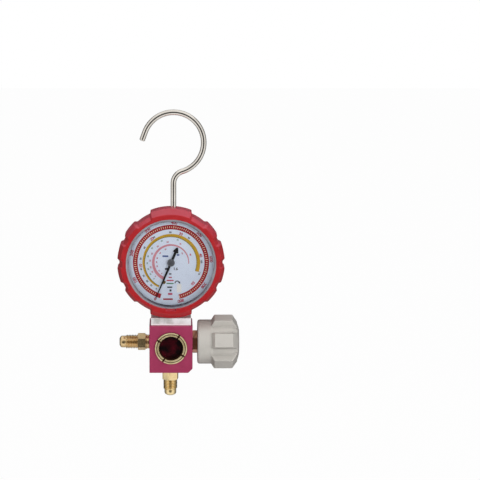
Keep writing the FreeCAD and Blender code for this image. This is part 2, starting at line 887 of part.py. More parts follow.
def zero_screw():
    head_front = dial_front - seat_gap - zero_head_h
    head = disc(zero_head_r, zero_head_h, zero_x, head_front, zero_z)
    slot = box(V(-zero_head_r, head_front - 1, -zero_slot / 2),
               V(zero_head_r, head_front + zero_head_h / 2, zero_slot / 2))
    slot.rotate(V(0, 0, 0), Y_AXIS, -35)
    slot.translate(V(zero_x, 0, gauge_z + zero_z))
    shank_l = front_plate_back - head_front - zero_head_h
    shank = disc(zero_shank_r, shank_l, zero_x, head_front + zero_head_h, zero_z)
    return head.cut(slot).fuse(shank).removeSplitter()


def gauge_socket():
    """The brass socket: a block inside the case, a square shank and the threaded stem."""
    bottom = -case_inner_r
    body = box(V(-socket_half, -socket_y, gauge_z + bottom), V(socket_half, socket_y, gauge_z + socket_top))
    body = body.common(disc(-bottom, 2 * socket_y, 0, -socket_y, 0))
    tongue_low = tongue_screw_z - tongue_margin - 0.1
    shoulder = socket_y + 1
    front_step = box(V(-shoulder, -shoulder, gauge_z + tongue_low),
                     V(shoulder, front_plate_back, gauge_z + socket_top + 1))
    rear_step = box(V(-shoulder, rear_plate_front, gauge_z + tongue_low),
                    V(shoulder, shoulder, gauge_z + socket_top + 1))
    body = body.cut(front_step).cut(rear_step)
    half = shank_af / 2
    shank_low = neck_top + stem_seal_h
    shank = box(V(-half, -half, shank_low), V(half, half, gauge_z + bottom + case_wall))
    thread = rod(stem_thread_r, stem_thread_l + stem_seal_h, V(0, 0, shank_low), -Z_AXIS)
    body = body.fuse([shank, thread]).removeSplitter()
    end_z = neck_top - stem_thread_l
    root = polar(tube_r, tube_root_angle)
    bore = rod(socket_bore_r, root.z - end_z, V(0, 0, end_z), Z_AXIS)
    cross = rod(socket_bore_r * 0.8, -root.x, V(0, 0, root.z), -X_AXIS)
    seat = rod(restrictor_r, restrictor_l, V(0, 0, end_z), Z_AXIS)
    slot = tube_sweep(0, tube_root_angle + 1.5, tube_root_angle - 20)
    for tool in (bore, cross, seat, slot):
        body = body.cut(tool)
    for x in (-tongue_screw_x, tongue_screw_x):
        body = body.cut(disc(tongue_screw_r, 2 * socket_y, x, -socket_y, tongue_screw_z))
    for x in (-case_screw_x, case_screw_x):
        body = body.cut(disc(case_screw_r, case_screw_l, x, socket_y - case_screw_l + 0.5, case_screw_z))
    return body


def restrictor():
    return pipe(restrictor_r, restrictor_hole_r, restrictor_l, V(0, 0, neck_top - stem_thread_l), Z_AXIS)


def stem_seal():
    return pipe(shank_af / 2, stem_thread_r + running_gap, stem_seal_h, V(0, 0, neck_top), Z_AXIS)


def case_screws():
    """Two screws through the back of the case, a spacer apart from the socket."""
    screws = []
    for x in (-case_screw_x, case_screw_x):
        head = disc(case_screw_head_r, case_screw_head_h, x, case_back, case_screw_z)
        slot_floor = V(x, case_back + case_screw_head_h - 0.6, gauge_z + case_screw_z)
        slot = box(slot_floor - V(case_screw_head_r, 0, 0.4), slot_floor + V(case_screw_head_r, 1.6, 0.4))
        shank = disc(case_screw_r, case_back - socket_y + case_screw_l - 1, x,
                     socket_y - case_screw_l + 1, case_screw_z)
        screws.append(head.cut(slot).fuse(shank).removeSplitter())
    return Part.makeCompound(screws)


def case_spacers():
    """Two sleeves that keep the case's back off the socket."""
    length = case_inner_back - socket_y
    return Part.makeCompound([
        pipe(case_spacer_r, case_screw_r + assembly_gap, length,
             V(x, socket_y, gauge_z + case_screw_z), Y_AXIS)
        for x in (-case_screw_x, case_screw_x)])


def manifold_block():
    """The anodised body with its bare neck, the ports, the sight well and the valve bore."""
    half = block_w / 2
    corners = [
        V(-half, block_front, block_bottom), V(half - block_corner, block_front, block_bottom),
        V(half, block_front, block_bottom + block_corner), V(half, block_front, block_top),
        V(-half, block_front, block_top),
    ]
    body = Part.Face(Part.makePolygon(corners + corners[:1])).extrude(V(0, block_d, 0))
    body = body.makeChamfer(block_edge, body.Edges)
    neck = box(V(-neck_w / 2, -neck_d / 2, block_top - 1), V(neck_w / 2, neck_d / 2, neck_top))
    body = body.fuse(neck).removeSplitter()
    bore_z = valve_z
    lens_front_y = block_front + sight_thread_l
    lens_back_y = lens_front_y + sight_lens_h + sight_seal_d
    ring_gland = port_root_r + o_ring_d
    tools = [
        rod(stem_thread_r + running_gap, stem_thread_l + 2, V(0, 0, neck_top), -Z_AXIS),
        rod(duct_r, neck_top - bore_z, V(0, 0, neck_top), -Z_AXIS),
        rod(duct_r, bore_z - block_bottom, V(lower_port_x, 0, block_bottom), Z_AXIS),
        rod(port_root_r + running_gap, port_root_l + 1, V(lower_port_x, 0, block_bottom), Z_AXIS),
        rod(port_root_r + running_gap, port_root_l + 1, V(-half, 0, bore_z), X_AXIS),
        rod(seat_orifice_r, half + valve_bore_end, V(-half, 0, bore_z), X_AXIS),
        rod(valve_bore_r, half - valve_bore_end, V(half, 0, bore_z), -X_AXIS),
        rod(bonnet_thread_r + running_gap, bonnet_thread_l, V(half, 0, bore_z), -X_AXIS),
        rod(ring_gland, o_ring_d - o_ring_squeeze, V(lower_port_x, 0, block_bottom), Z_AXIS),
        rod(ring_gland, o_ring_d - o_ring_squeeze, V(-half, 0, bore_z), X_AXIS),
        rod(bonnet_thread_r + o_ring_d, o_ring_d - o_ring_squeeze, V(half, 0, bore_z), -X_AXIS),
        rod(sight_thread_r + running_gap, sight_thread_l, V(0, block_front, sight_z), Y_AXIS),
        rod(sight_lens_r + running_gap, lens_back_y - block_front, V(0, block_front, sight_z), Y_AXIS),
        rod(sight_well_r, sight_well_back - block_front, V(0, block_front, sight_z), Y_AXIS),
    ]
    for tool in tools:
        body = body.cut(tool)
    return body


def flare_port(origin, direction, lead, hex_l, thread_l, nose_l, turn):
    """A male flare fitting: screwed root, optional neck and collar, hexagon, thread and nose."""
    profile = [(flare_bore_r, -port_root_l), (port_root_r, -port_root_l), (port_root_r, 0)]
    station = 0.0
    for radius, length in lead:
        profile += [(radius, station), (radius, station + length)]
        station += length
    hex_start = station
    station += hex_l
    profile += [(port_root_r, hex_start), (port_root_r, station)]
    profile += [(flare_thread_r, station), (flare_thread_r, station + thread_l)]
    station += thread_l
    profile += [(flare_relief_r, station), (flare_relief_r, station + flare_relief_l)]
    cone = flare_nose_r - flare_tip_r
    end = station + nose_l
    profile += [
        (flare_nose_r, station + flare_relief_l + 0.1), (flare_nose_r, end - cone - 0.6),
        (flare_nose_r - 0.35, end - cone), (flare_tip_r, end - 0.2), (flare_tip_r - 0.5, end),
        (flare_bore_r, end),
    ]
    body = turned(profile, origin, direction)
    nut = hexagon(port_af, hex_l, origin + direction * hex_start, direction, turn)
    dressing_r = port_af / math.sqrt(3)
    crown = 0.6
    dressing = turned([
        (0, hex_start), (dressing_r - crown, hex_start), (dressing_r, hex_start + crown * 0.6),
        (dressing_r, hex_start + hex_l - crown * 0.6), (dressing_r - crown, hex_start + hex_l),
        (0, hex_start + hex_l)], origin, direction)
    bore = rod(flare_bore_r, hex_l + 2, origin + direction * (hex_start - 1), direction)
    nut = nut.common(dressing).cut(bore)
    return body.fuse(nut).removeSplitter()


def side_port_fitting():
    lead = [(side_neck_r, side_neck_l), (side_collar_r, side_collar_l)]
    origin = V(-block_w / 2, 0, valve_z)
    return flare_port(origin, -X_AXIS, lead, side_hex_l, side_thread_l, side_nose_l, 0)


def lower_port_fitting():
    origin = V(lower_port_x, 0, block_bottom)
    return flare_port(origin, -Z_AXIS, [], lower_hex_l, lower_thread_l, lower_nose_l, 30)


def port_o_rings():
    centre_r = port_root_r + o_ring_d / 2 + 0.02
    depth = o_ring_d / 2
    section = o_ring_d - o_ring_squeeze - 0.04
    return Part.makeCompound([
        ring_cord(centre_r, section, V(lower_port_x, 0, block_bottom + depth - o_ring_squeeze / 2), Z_AXIS),
        ring_cord(centre_r, section, V(-block_w / 2 + depth - o_ring_squeeze / 2, 0, valve_z), X_AXIS),
    ])


def sight_glass_ring():
    """The slotted brass ring that holds the glass: a flange, a turned groove and a thread."""
    front = -sight_ring_proud
    ring = turned([
        (sight_ring_bore + sight_ring_chamfer, front),
        (sight_groove_r - sight_groove_w / 2, front),
        (sight_groove_r - sight_groove_w / 2, front + sight_groove_h),
        (sight_groove_r + sight_groove_w / 2, front + sight_groove_h),
        (sight_groove_r + sight_groove_w / 2, front),
        (sight_ring_r - sight_ring_chamfer, front),
        (sight_ring_r, front + sight_ring_chamfer),
        (sight_ring_r, 0),
        (sight_thread_r, 0),
        (sight_thread_r, sight_thread_l),
        (sight_ring_bore, sight_thread_l),
        (sight_ring_bore, front + sight_ring_chamfer * 1.6),
    ], V(0, block_front, sight_z), Y_AXIS)
    slot_low = V(0, block_front + front - 1, sight_z - sight_slot_w / 2)
    slot_high = V(sight_ring_r + 1, block_front + front + sight_slot_h, sight_z + sight_slot_w / 2)
    for quarter in range(4):
        slot = box(slot_low, slot_high)
        slot.rotate(V(0, 0, sight_z), Y_AXIS, -sight_slot_angle - 90 * quarter)
        ring = ring.cut(slot)
    return ring


def sight_glass_lens():
    start = V(0, block_front + sight_thread_l, sight_z)
    return rod(sight_lens_r, sight_lens_h, start, Y_AXIS)


def sight_glass_seal():
    back = block_front + sight_thread_l + sight_lens_h
    centre_r = (sight_well_r + sight_lens_r) / 2
    return ring_cord(centre_r, sight_seal_d - seat_gap, V(0, back + sight_seal_d / 2, sight_z), Y_AXIS)


def valve_bonnet():
    """The brass bonnet: thread into the block, hexagon, and a barrel with the stem's thread."""
    origin = V(bonnet_x, 0, valve_z)
    shank_bore = stem_shank_r + running_gap
    screw_bore = stem_screw_r + running_gap
    step = bonnet_step_x - bonnet_x
    barrel_end = bonnet_barrel_end - bonnet_x
    body = turned([
        (shank_bore, -bonnet_thread_l + 0.4),
        (bonnet_thread_r - 0.5, -bonnet_thread_l + 0.4),
        (bonnet_thread_r, -bonnet_thread_l + 0.9),
        (bonnet_thread_r, 0),
        (bonnet_barrel_r, 0),
        (bonnet_barrel_r, barrel_end - 0.6),
        (bonnet_barrel_r - 0.6, barrel_end),
        (screw_bore, barrel_end),
        (screw_bore, step),
        (shank_bore, step),
    ], origin, X_AXIS)
    nut = hexagon(bonnet_af, bonnet_hex_l, origin, X_AXIS, 0)
    corner_r = bonnet_af / math.sqrt(3)
    dressing = turned([
        (0, 0), (corner_r, 0), (corner_r, bonnet_hex_l - 0.6),
        (corner_r - 1.0, bonnet_hex_l), (0, bonnet_hex_l)], origin, X_AXIS)
    nut = nut.common(dressing).cut(rod(bonnet_thread_r, bonnet_hex_l + 2, origin - X_AXIS, X_AXIS))
    return body.fuse(nut).removeSplitter()


def bonnet_o_ring():
    centre_r = bonnet_thread_r + o_ring_d / 2 + 0.02
    section = o_ring_d - o_ring_squeeze - 0.04
    return ring_cord(centre_r, section, V(bonnet_x - o_ring_d / 2 + o_ring_squeeze / 2, 0, valve_z), X_AXIS)


def stem_ring_groove():
    return stem_shank_r - stem_ring_d + running_gap


def valve_stem():
    """The stem: a nose in the piston, a sealed shank, a lifting thread and a square for the wheel."""
    nose_start = piston_end_x + seat_gap
    groove_half = stem_ring_d / 2 + running_gap
    stem = turned([
        (0, nose_start - stem_nose_l),
        (stem_nose_r, nose_start - stem_nose_l),
        (stem_nose_r, nose_start),
        (stem_shank_r, nose_start),
        (stem_shank_r, stem_ring_x - groove_half),
        (stem_ring_groove(), stem_ring_x - groove_half),
        (stem_ring_groove(), stem_ring_x + groove_half),
        (stem_shank_r, stem_ring_x + groove_half),
        (stem_shank_r, stem_screw_x),
        (stem_screw_r, stem_screw_x),
        (stem_screw_r, stem_screw_end),
        (0, stem_screw_end),
    ], V(0, 0, valve_z), X_AXIS)
    half = wheel_square / 2 - running_gap
    end = wheel_square_end - 0.3
    drive = box(V(stem_screw_end, -half, valve_z - half), V(end, half, valve_z + half))
    drive.rotate(V(0, 0, valve_z), X_AXIS, lobe_turn)
    hole = rod(wheel_screw_r, wheel_screw_l, V(end - wheel_screw_l, 0, valve_z), X_AXIS)
    return stem.fuse(drive).removeSplitter().cut(hole)


def stem_o_ring():
    middle_r = (stem_ring_groove() + stem_shank_r + running_gap) / 2
    cord = stem_shank_r + running_gap - stem_ring_groove() - 2 * seat_gap
    return ring_cord(middle_r, cord, V(stem_ring_x, 0, valve_z), X_AXIS)


def valve_piston():
    """Carries the soft seal at its face and the stem's nose in its back."""
    face = valve_bore_end + piston_seal_h - piston_recess + seat_gap
    return turned([
        (0, face + piston_recess),
        (piston_seal_r, face + piston_recess),
        (piston_seal_r, face),
        (piston_r, face),
        (piston_r, piston_end_x - 0.4),
        (piston_r - 0.4, piston_end_x),
        (stem_nose_r + running_gap, piston_end_x),
        (stem_nose_r + running_gap, piston_end_x - stem_nose_l - running_gap),
        (0, piston_end_x - stem_nose_l - running_gap),
    ], V(0, 0, valve_z), X_AXIS)


def piston_seal():
    return rod(piston_seal_r, piston_seal_h, V(valve_bore_end + seat_gap, 0, valve_z), X_AXIS)


def wheel_lobe():
    """One grip lobe, as the common part of its side view and its cross-section."""
    inside = wheel_cavity_end
    side = [
        V(lobe_foot_x, 0, wheel_core_r - 2), V(lobe_foot_x, 0, wheel_core_r),
        V(lobe_top_x, 0, wheel_lobe_r), V(lobe_fall_x, 0, wheel_lobe_r),
        V(lobe_end_x, 0, wheel_end_r), V(inside, 0, wheel_end_r - 0.2),
    ]
    wide = lobe_foot_half + 2
    side_solid = Part.Face(Part.makePolygon(side + side[:1])).extrude(V(0, 2 * wide, 0))
    side_solid.translate(V(0, -wide, 0))
    root_half = lobe_foot_half + 0.6
    section = [
        V(lobe_foot_x, -root_half, wheel_end_r - 1), V(lobe_foot_x, -lobe_foot_half, wheel_core_r),
        V(lobe_foot_x, -lobe_face_half, wheel_lobe_r - lobe_edge),
        V(lobe_foot_x, -lobe_face_half + lobe_edge, wheel_lobe_r + 0.01),
        V(lobe_foot_x, lobe_face_half - lobe_edge, wheel_lobe_r + 0.01),
        V(lobe_foot_x, lobe_face_half, wheel_lobe_r - lobe_edge),
        V(lobe_foot_x, lobe_foot_half, wheel_core_r), V(lobe_foot_x, root_half, wheel_end_r - 1),
    ]
    section_face = Part.Face(Part.makePolygon(section + section[:1]))
    section_solid = section_face.extrude(V(lobe_end_x - lobe_foot_x, 0, 0))
    return side_solid.common(section_solid)


def handwheel():
    """The moulded wheel: a lobed shell, a hub with a square hole, six ribs and a cap seat."""
    outer = [
        (0, wheel_start), (wheel_collar_r - wheel_collar_round, wheel_start),
        (wheel_collar_r - 0.45, wheel_start + 0.45), (wheel_collar_r, wheel_start + wheel_collar_round),
        (wheel_collar_r, lobe_foot_x), (wheel_core_r, lobe_top_x),
        (wheel_core_r, lobe_fall_x), (wheel_end_r, lobe_end_x),
        (cap_r + assembly_gap + 0.6, wheel_end_x), (0, wheel_end_x),
    ]
    centre = V(0, 0, valve_z)
    body = turned(outer, centre, X_AXIS)
    lobe = wheel_lobe()
    solids = []
    for index in range(lobe_count):
        one = lobe.copy()
        one.translate(centre)
        one.rotate(centre, X_AXIS, 90 - lobe_turn + index * 360 / lobe_count)
        solids.append(one)
    body = body.fuse(solids).removeSplitter()
    hollow = turned([
        (0, wheel_start - 1), (wheel_mouth_r, wheel_start - 1), (wheel_mouth_r, wheel_cavity_end - 2),
        (wheel_mouth_r - 2, wheel_cavity_end), (wheel_hub_r, wheel_cavity_end),
        (wheel_hub_r, wheel_hub_start), (0, wheel_hub_start),
    ], centre, X_AXIS)
    rib_zone = box(V(bonnet_barrel_end + 4, -wheel_rib_t / 2, wheel_hub_r - 1),
                   V(wheel_cavity_end + 1, wheel_rib_t / 2, wheel_mouth_r + 1))
    for index in range(lobe_count):
        rib = rib_zone.copy()
        rib.translate(centre)
        rib.rotate(centre, X_AXIS, 90 - lobe_turn + index * 360 / lobe_count)
        hollow = hollow.cut(rib)
    square_half = wheel_square / 2
    square = box(V(wheel_hub_start - 1, -square_half, valve_z - square_half),
                 V(wheel_square_end, square_half, valve_z + square_half))
    square.rotate(centre, X_AXIS, lobe_turn)
    recess = rod(wheel_recess_r, wheel_end_x, centre + X_AXIS * wheel_square_end, X_AXIS)
    cap_seat = rod(cap_r + running_gap, cap_h, centre + X_AXIS * (wheel_end_x - cap_h + 0.3), X_AXIS)
    for tool in (hollow, square, recess, cap_seat):
        body = body.cut(tool)
    return body


def wheel_washer():
    start = V(wheel_square_end, 0, valve_z)
    return pipe(wheel_washer_r, wheel_screw_r + assembly_gap, wheel_washer_h, start, X_AXIS)


def wheel_screw():
    seat = wheel_square_end + wheel_washer_h
    origin = V(seat, 0, valve_z)
    head = turned([
        (0, 0), (wheel_screw_head_r, 0), (wheel_screw_head_r, wheel_screw_head_h * 0.6),
        (wheel_screw_head_r * 0.6, wheel_screw_head_h), (0, wheel_screw_head_h)], origin, X_AXIS)
    reach = wheel_screw_l - 1
    shank = rod(wheel_screw_r, reach, V(seat - reach, 0, valve_z), X_AXIS)
    half = 0.45
    body = head.fuse(shank).removeSplitter()
    for long_y, long_z in ((2.0, half), (half, 2.0)):
        start = seat + wheel_screw_head_h * 0.4
        slot = box(V(start, -long_y, valve_z - long_z), V(start + 3, long_y, valve_z + long_z))
        body = body.cut(slot)
    return body


def wheel_cap():
    """The end disc, slightly crowned, with a short spigot in the screw recess."""
    start = wheel_end_x - cap_h + 0.3
    return turned([
        (0, start - cap_pin_l), (cap_pin_r, start - cap_pin_l), (cap_pin_r, start),
        (cap_r, start), (cap_r, wheel_end_x - cap_edge + 0.3), (cap_r - cap_edge, wheel_end_x + 0.3),
        (0, wheel_end_x + 0.3)], V(0, 0, valve_z), X_AXIS)


def export(node, shape):
    moved = shape.copy()
    moved.translate(V(-hook_offset, 0, 0))
    moved.exportStep("parts/" + node + ".step")
    if not moved.isValid():
        print("invalid", node)


def main():
    os.makedirs("parts", exist_ok=True)
    pieces = {
        "hook": hook, "hook_washer": hook_washer, "gauge_boot": gauge_boot,
        "gauge_case": gauge_case, "bezel_ring": bezel_ring, "gauge_lens": gauge_lens,
        "lens_gasket": lens_gasket, "dial_plate": dial_plate, "dial_posts": dial_posts,
        "pointer": pointer, "pointer_hub": pointer_hub, "zero_screw": zero_screw,
        "pinion_arbor": pinion_arbor, "hairspring": hairspring, "sector_gear": sector_gear,
        "sector_arbor": sector_arbor, "link": link, "link_pin": link_pin, "tube_end": tube_end,
        "bourdon_tube": bourdon_tube, "movement_front_plate": movement_front_plate,
        "movement_rear_plate": lambda: movement_plate(rear_plate_front),
        "movement_pillars": movement_pillars, "movement_screws": movement_screws,
        "gauge_socket": gauge_socket, "restrictor": restrictor, "stem_seal": stem_seal,
        "case_screws": case_screws, "case_spacers": case_spacers,
        "manifold_block": manifold_block, "side_port_fitting": side_port_fitting,
        "lower_port_fitting": lower_port_fitting, "port_o_rings": port_o_rings,
        "sight_glass_ring": sight_glass_ring, "sight_glass_lens": sight_glass_lens,
        "sight_glass_seal": sight_glass_seal, "valve_bonnet": valve_bonnet,
        "bonnet_o_ring": bonnet_o_ring, "valve_stem": valve_stem, "stem_o_ring": stem_o_ring,
        "valve_piston": valve_piston, "piston_seal": piston_seal, "handwheel": handwheel,
        "wheel_washer": wheel_washer, "wheel_screw": wheel_screw, "wheel_cap": wheel_cap,
    }
    for node, make in pieces.items():
        export(node, make())


main()
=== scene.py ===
import math

import bmesh
import bpy
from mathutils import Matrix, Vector


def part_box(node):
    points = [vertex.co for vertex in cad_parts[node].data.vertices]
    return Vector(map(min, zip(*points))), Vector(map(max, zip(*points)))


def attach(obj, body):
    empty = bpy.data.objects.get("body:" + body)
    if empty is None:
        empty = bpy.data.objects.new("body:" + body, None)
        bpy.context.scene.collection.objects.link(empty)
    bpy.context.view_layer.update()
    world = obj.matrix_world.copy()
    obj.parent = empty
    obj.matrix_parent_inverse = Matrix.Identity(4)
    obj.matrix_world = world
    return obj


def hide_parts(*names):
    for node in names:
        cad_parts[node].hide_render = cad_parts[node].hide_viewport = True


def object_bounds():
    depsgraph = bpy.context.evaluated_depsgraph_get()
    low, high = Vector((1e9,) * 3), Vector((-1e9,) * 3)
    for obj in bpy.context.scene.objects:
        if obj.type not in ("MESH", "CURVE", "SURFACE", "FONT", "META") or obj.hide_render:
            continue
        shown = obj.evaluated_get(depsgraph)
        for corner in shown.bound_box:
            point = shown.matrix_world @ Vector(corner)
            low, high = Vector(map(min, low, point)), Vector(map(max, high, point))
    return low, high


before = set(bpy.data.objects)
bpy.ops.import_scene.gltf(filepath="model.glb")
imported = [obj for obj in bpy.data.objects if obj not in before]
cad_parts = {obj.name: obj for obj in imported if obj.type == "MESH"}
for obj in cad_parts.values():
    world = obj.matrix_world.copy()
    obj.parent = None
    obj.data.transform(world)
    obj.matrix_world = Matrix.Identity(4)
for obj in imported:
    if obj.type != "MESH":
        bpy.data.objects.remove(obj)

# Single-valve manifold with a booted pressure gauge, a sight glass and a hanging hook.
# Sizes are in millimetres and MM turns them into Blender's metres. Angles on the dial are in
# degrees, counted clockwise from straight down, as the gauge is read.

MM = 0.001
X_AXIS = Vector((1, 0, 0))
Y_AXIS = Vector((0, 1, 0))
Z_AXIS = Vector((0, 0, 1))
cad_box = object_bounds()

# Points nearer than this are one
SEAM = 0.001 * MM

# Blender's spin turns against the right-hand turn about its axis.
SPIN_WAY = -1


def middle(node):
    low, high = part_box(node)
    return (Vector(low) + Vector(high)) / 2


# Places taken from the frame
gauge = Vector((middle("bezel_ring").x, 0, middle("bezel_ring").z))
wire_x = middle("hook_washer").x
block_low, block_high = (Vector(corner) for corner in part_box("manifold_block"))
valve = Vector((0, 0, middle("valve_stem").z))
sight = Vector((middle("sight_glass_ring").x, block_low.y, middle("sight_glass_ring").z))
side_port = Vector((block_low.x, 0, middle("side_port_fitting").z))
lower_port = Vector((middle("lower_port_fitting").x, 0, block_low.z))
bonnet_root = Vector((block_high.x, 0, valve.z))

# Hook
wire_r = 2.2
loop_r = 23.6
lower_bend_r = 9.7
tip_angle = 160.0
tip_length = 7.0
tip_flat = 0.6
tip_rounding = ((0.85, 0.2), (0.97, 0.3), (1.0, 0.4))
hook_head_r = 4.2
hook_head_h = 1.3

# Gauge, stations counted backwards from the gauge's centre plane
boot_front = -16.5
boot_back = 13.0
boot_valley_r = 40.4
boot_valley_front_r = 37.8
boot_valley_back = -12.2
boot_ring_r = 39.3
boot_lobe_r = 42.2
boot_wide_lobe_r = 43.2
boot_window_r = 35.3
boot_lip_back = -14.95
boot_rear_r = 35.4
hook_hole_r = 2.5
stem_hole_r = 7.9
case_seat_r = 38.2
case_seat_back = 11.3
bezel_seat_r = 39.05
bezel_seat_front = -13.2
bezel_seat_back = -8.6
boot_slope_back = -8.5
boot_low_slope_back = -13.8
boot_taper_back = 6.0
boot_back_r = 38.1
boot_envelope_r = boot_wide_lobe_r + 0.1
wide_lobe_half = 23.0
small_lobe_half = 9.0
small_lobe_angles = (13.0, 39.0)
bezel_outer_r = 38.85
bezel_bead_r = 35.4
bezel_window_r = 33.2
dial_r = 34.2
dial_front = -6.6
lens_r = 36.95
lens_front = -12.15
lens_back = -10.35
bezel_front = -14.9
bezel_flange_front = -13.0
bezel_back = -8.8
bezel_bore_r = 38.05
print_lift = 0.05

# Scales on the dial
band_r = 28.1
band_w = 3.6
band_start = 16.7
band_end = 347.0
gold_r = 21.6
gold_start = 26.6
gold_end = 289.5
pink_r = 13.9
pink_start = 24.3
pink_end = 274.0
pressure_start = 23.0
pressure_end = 346.0

# Pointer
pointer_rest = 23.0
pointer_tip_r = 30.9
pointer_tail_r = 13.1
pointer_front = -8.4
pointer_h = 0.4
zero_x = -5.5
zero_z = -15.8

# Ports
thread_r = 5.55
thread_root_r = 4.75
thread_pitch = 1.27
nose_r = 4.7
nose_tip_r = 3.1
port_bore_r = 2.3
port_hex_af = 12.0
lower_hex_turn = 23.4

# Handwheel, stations counted along +X from the gauge's middle
lobe_count = 6
lobe_turn = 75.0
lobe_start = 30.9
lobe_end = 52.6
lobe_w = 12.2
lobe_h = 6.6
lobe_top_r = 21.4
pad_start = 34.0
pad_end = 48.3
pad_w = 11.0
wheel_r = 17.6
wheel_start = 21.0
wheel_end = 53.7
wheel_bore_r = 10.8
cap_front = 54.0
cap_shoulder = 51.8
square_w = 5.7


# Modelling

def choose(*pieces):
    """Leaves object mode with just these pieces selected, the first of them active."""
    if bpy.context.mode != "OBJECT":
        bpy.ops.object.mode_set(mode="OBJECT")
    bpy.ops.object.select_all(action="DESELECT")
    for piece in pieces:
        piece.select_set(True)
    if pieces:
        bpy.context.view_layer.objects.active = pieces[0]


def edit(piece):
    choose(piece)
    bpy.ops.object.mode_set(mode="EDIT")


def pick(kind, test):
    """Selects the vertices or the faces of the piece in edit mode whose middle passes a test."""
    bpy.context.tool_settings.mesh_select_mode = (kind == "verts", False, kind == "faces")
    bpy.ops.mesh.select_all(action="DESELECT")
    piece = bpy.context.object
    mesh = bmesh.from_edit_mesh(piece.data)
    for item in getattr(mesh, kind):
        centre = item.co if kind == "verts" else item.calc_center_median()
        item.select_set(test(piece.matrix_world @ centre))
    mesh.select_flush_mode()
    bmesh.update_edit_mesh(piece.data)


def take_all():
    bpy.ops.mesh.select_all(action="SELECT")


def leave_edit():
    bpy.ops.object.mode_set(mode="OBJECT")


def settle():
    """Puts the active piece's place, turn and size into its mesh."""
    bpy.ops.object.transform_apply(location=True, rotation=True, scale=True)


def named(name):
    piece = bpy.context.object
    piece.name = name
    piece.data.name = name
    return piece


def mend_surface():
    """Merges doubles and points every face outwards, in edit mode."""
    take_all()
    bpy.ops.mesh.remove_doubles(threshold=SEAM)
    bpy.ops.mesh.normals_make_consistent(inside=False)


def drawn(start, corners):
    """Starts a piece as one point, then extrudes it from corner to corner."""
    choose()
    bpy.ops.mesh.primitive_plane_add(size=MM, location=start)
    bpy.ops.object.mode_set(mode="EDIT")
    bpy.ops.mesh.select_mode(type="VERT")
    bpy.ops.mesh.merge(type="CENTER")
    at = start
    for corner in corners:
        bpy.ops.mesh.extrude_vertices_move(TRANSFORM_OT_translate={"value": corner - at})
        at = corner


def beside(axis):
    """The direction in which a turned piece's profile is drawn."""
    return Z_AXIS if abs(axis.z) < 0.5 else X_AXIS


def turned(name, profile, centre, axis, steps=96):
    """A turned piece: a profile of (radius, station) corners is drawn, then spun about an axis."""
    corners = [centre + (beside(axis) * radius + axis * station) * MM for radius, station in profile]
    drawn(corners[0], corners[1:])
    take_all()
    bpy.ops.mesh.spin(steps=steps, angle=math.tau, center=centre, axis=axis)
    mend_surface()
    leave_edit()
    return named(name)


def closed(profile):
    return profile + profile[:1]


def prism(name, outline, front, depth):
    """A flat plate: its outline is drawn, filled, and extruded backwards."""
    drawn(outline[0] + Y_AXIS * front * MM, [point + Y_AXIS * front * MM for point in outline[1:]])
    take_all()
    bpy.ops.mesh.edge_face_add()
    bpy.ops.mesh.extrude_region_move(TRANSFORM_OT_translate={"value": Y_AXIS * depth * MM})
    mend_surface()
    leave_edit()
    return named(name)


def block(name, centre, size):
    choose()
    bpy.ops.mesh.primitive_cube_add(size=1, location=centre)
    piece = named(name)
    piece.scale = size * MM
    settle()
    return piece


def peg(name, centre, axis, radius, length, sides=48):
    """A straight peg that runs from its centre along an axis."""
    return turned(name, [(0, 0), (radius, 0), (radius, length), (0, length)], centre, axis, sides)


def modify(piece, kind, **settings):
    """Gives a piece a modifier with its settings, and applies it."""
    choose(piece)
    bpy.ops.object.modifier_add(type=kind)
    modifier = piece.modifiers[-1]
    for label, value in settings.items():
        setattr(modifier, label, value)
    bpy.ops.object.modifier_apply(modifier=modifier.name)


def carve(piece, tool, operation="DIFFERENCE"):
    """Cuts one piece with another, joins them or keeps what they share, and removes the tool."""
    modify(piece, "BOOLEAN", operation=operation, solver="EXACT", object=tool)
    bpy.data.objects.remove(tool)


def round_edges(piece, width, segments=2, angle=32):
    modify(piece, "BEVEL", width=width * MM, segments=segments, limit_method="ANGLE",
           angle_limit=math.radians(angle))


def mould(piece, grain, softness):
    """Fuses a piece's shells into one skin and rounds its corners, as a mould does."""
    modify(piece, "REMESH", mode="VOXEL", voxel_size=grain * MM)
    modify(piece, "SMOOTH", factor=0.5, iterations=softness)


def join(name, *pieces):
    choose(*pieces)
    if len(pieces) > 1:
        bpy.ops.object.join()
    return named(name)


def centre_on(piece, centre):
    """Moves a piece's origin, and not the piece, to a centre."""
    choose(piece)
    bpy.context.scene.cursor.location = centre
    bpy.ops.object.origin_set(type="ORIGIN_CURSOR")


def turn_about(piece, centre, axis_index, degrees):
    """Turns a piece about a line through a centre, along X, Y or Z."""
    centre_on(piece, centre)
    piece.rotation_euler[axis_index] = math.radians(degrees)
    settle()


def finish(piece, body, paint, stands_for=(), smooth=32):
    """Puts a piece's place into its mesh, shades it, and ties it to its body, finish and nodes."""
    choose(piece)
    settle()
    bpy.ops.object.shade_smooth_by_angle(angle=math.radians(smooth))
    piece.data.materials.clear()
    piece.data.materials.append(paint)
    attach(piece, body)
    if stands_for:
        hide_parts(*stands_for)
    return piece


# Node helpers and the effects that several finishes share

def feed(tree, socket, source):
    """Gives an input a value, or links it to another node's output."""
    if isinstance(source, bpy.types.NodeSocket):
        tree.links.new(source, socket)
    else:
        socket.default_value = source


def add_node(tree, kind, inputs=None, **settings):
    """A shader node with its settings and what feeds its inputs."""
    node = tree.nodes.new("ShaderNode" + kind)
    for label, value in settings.items():
        setattr(node, label, value)
    for label, source in (inputs or {}).items():
        feed(tree, node.inputs[label], source)
    return node


def calc(tree, operation, *values, clamp=False):
    node = add_node(tree, "Math", dict(enumerate(values)), operation=operation, use_clamp=clamp)
    return node.outputs["Value"]


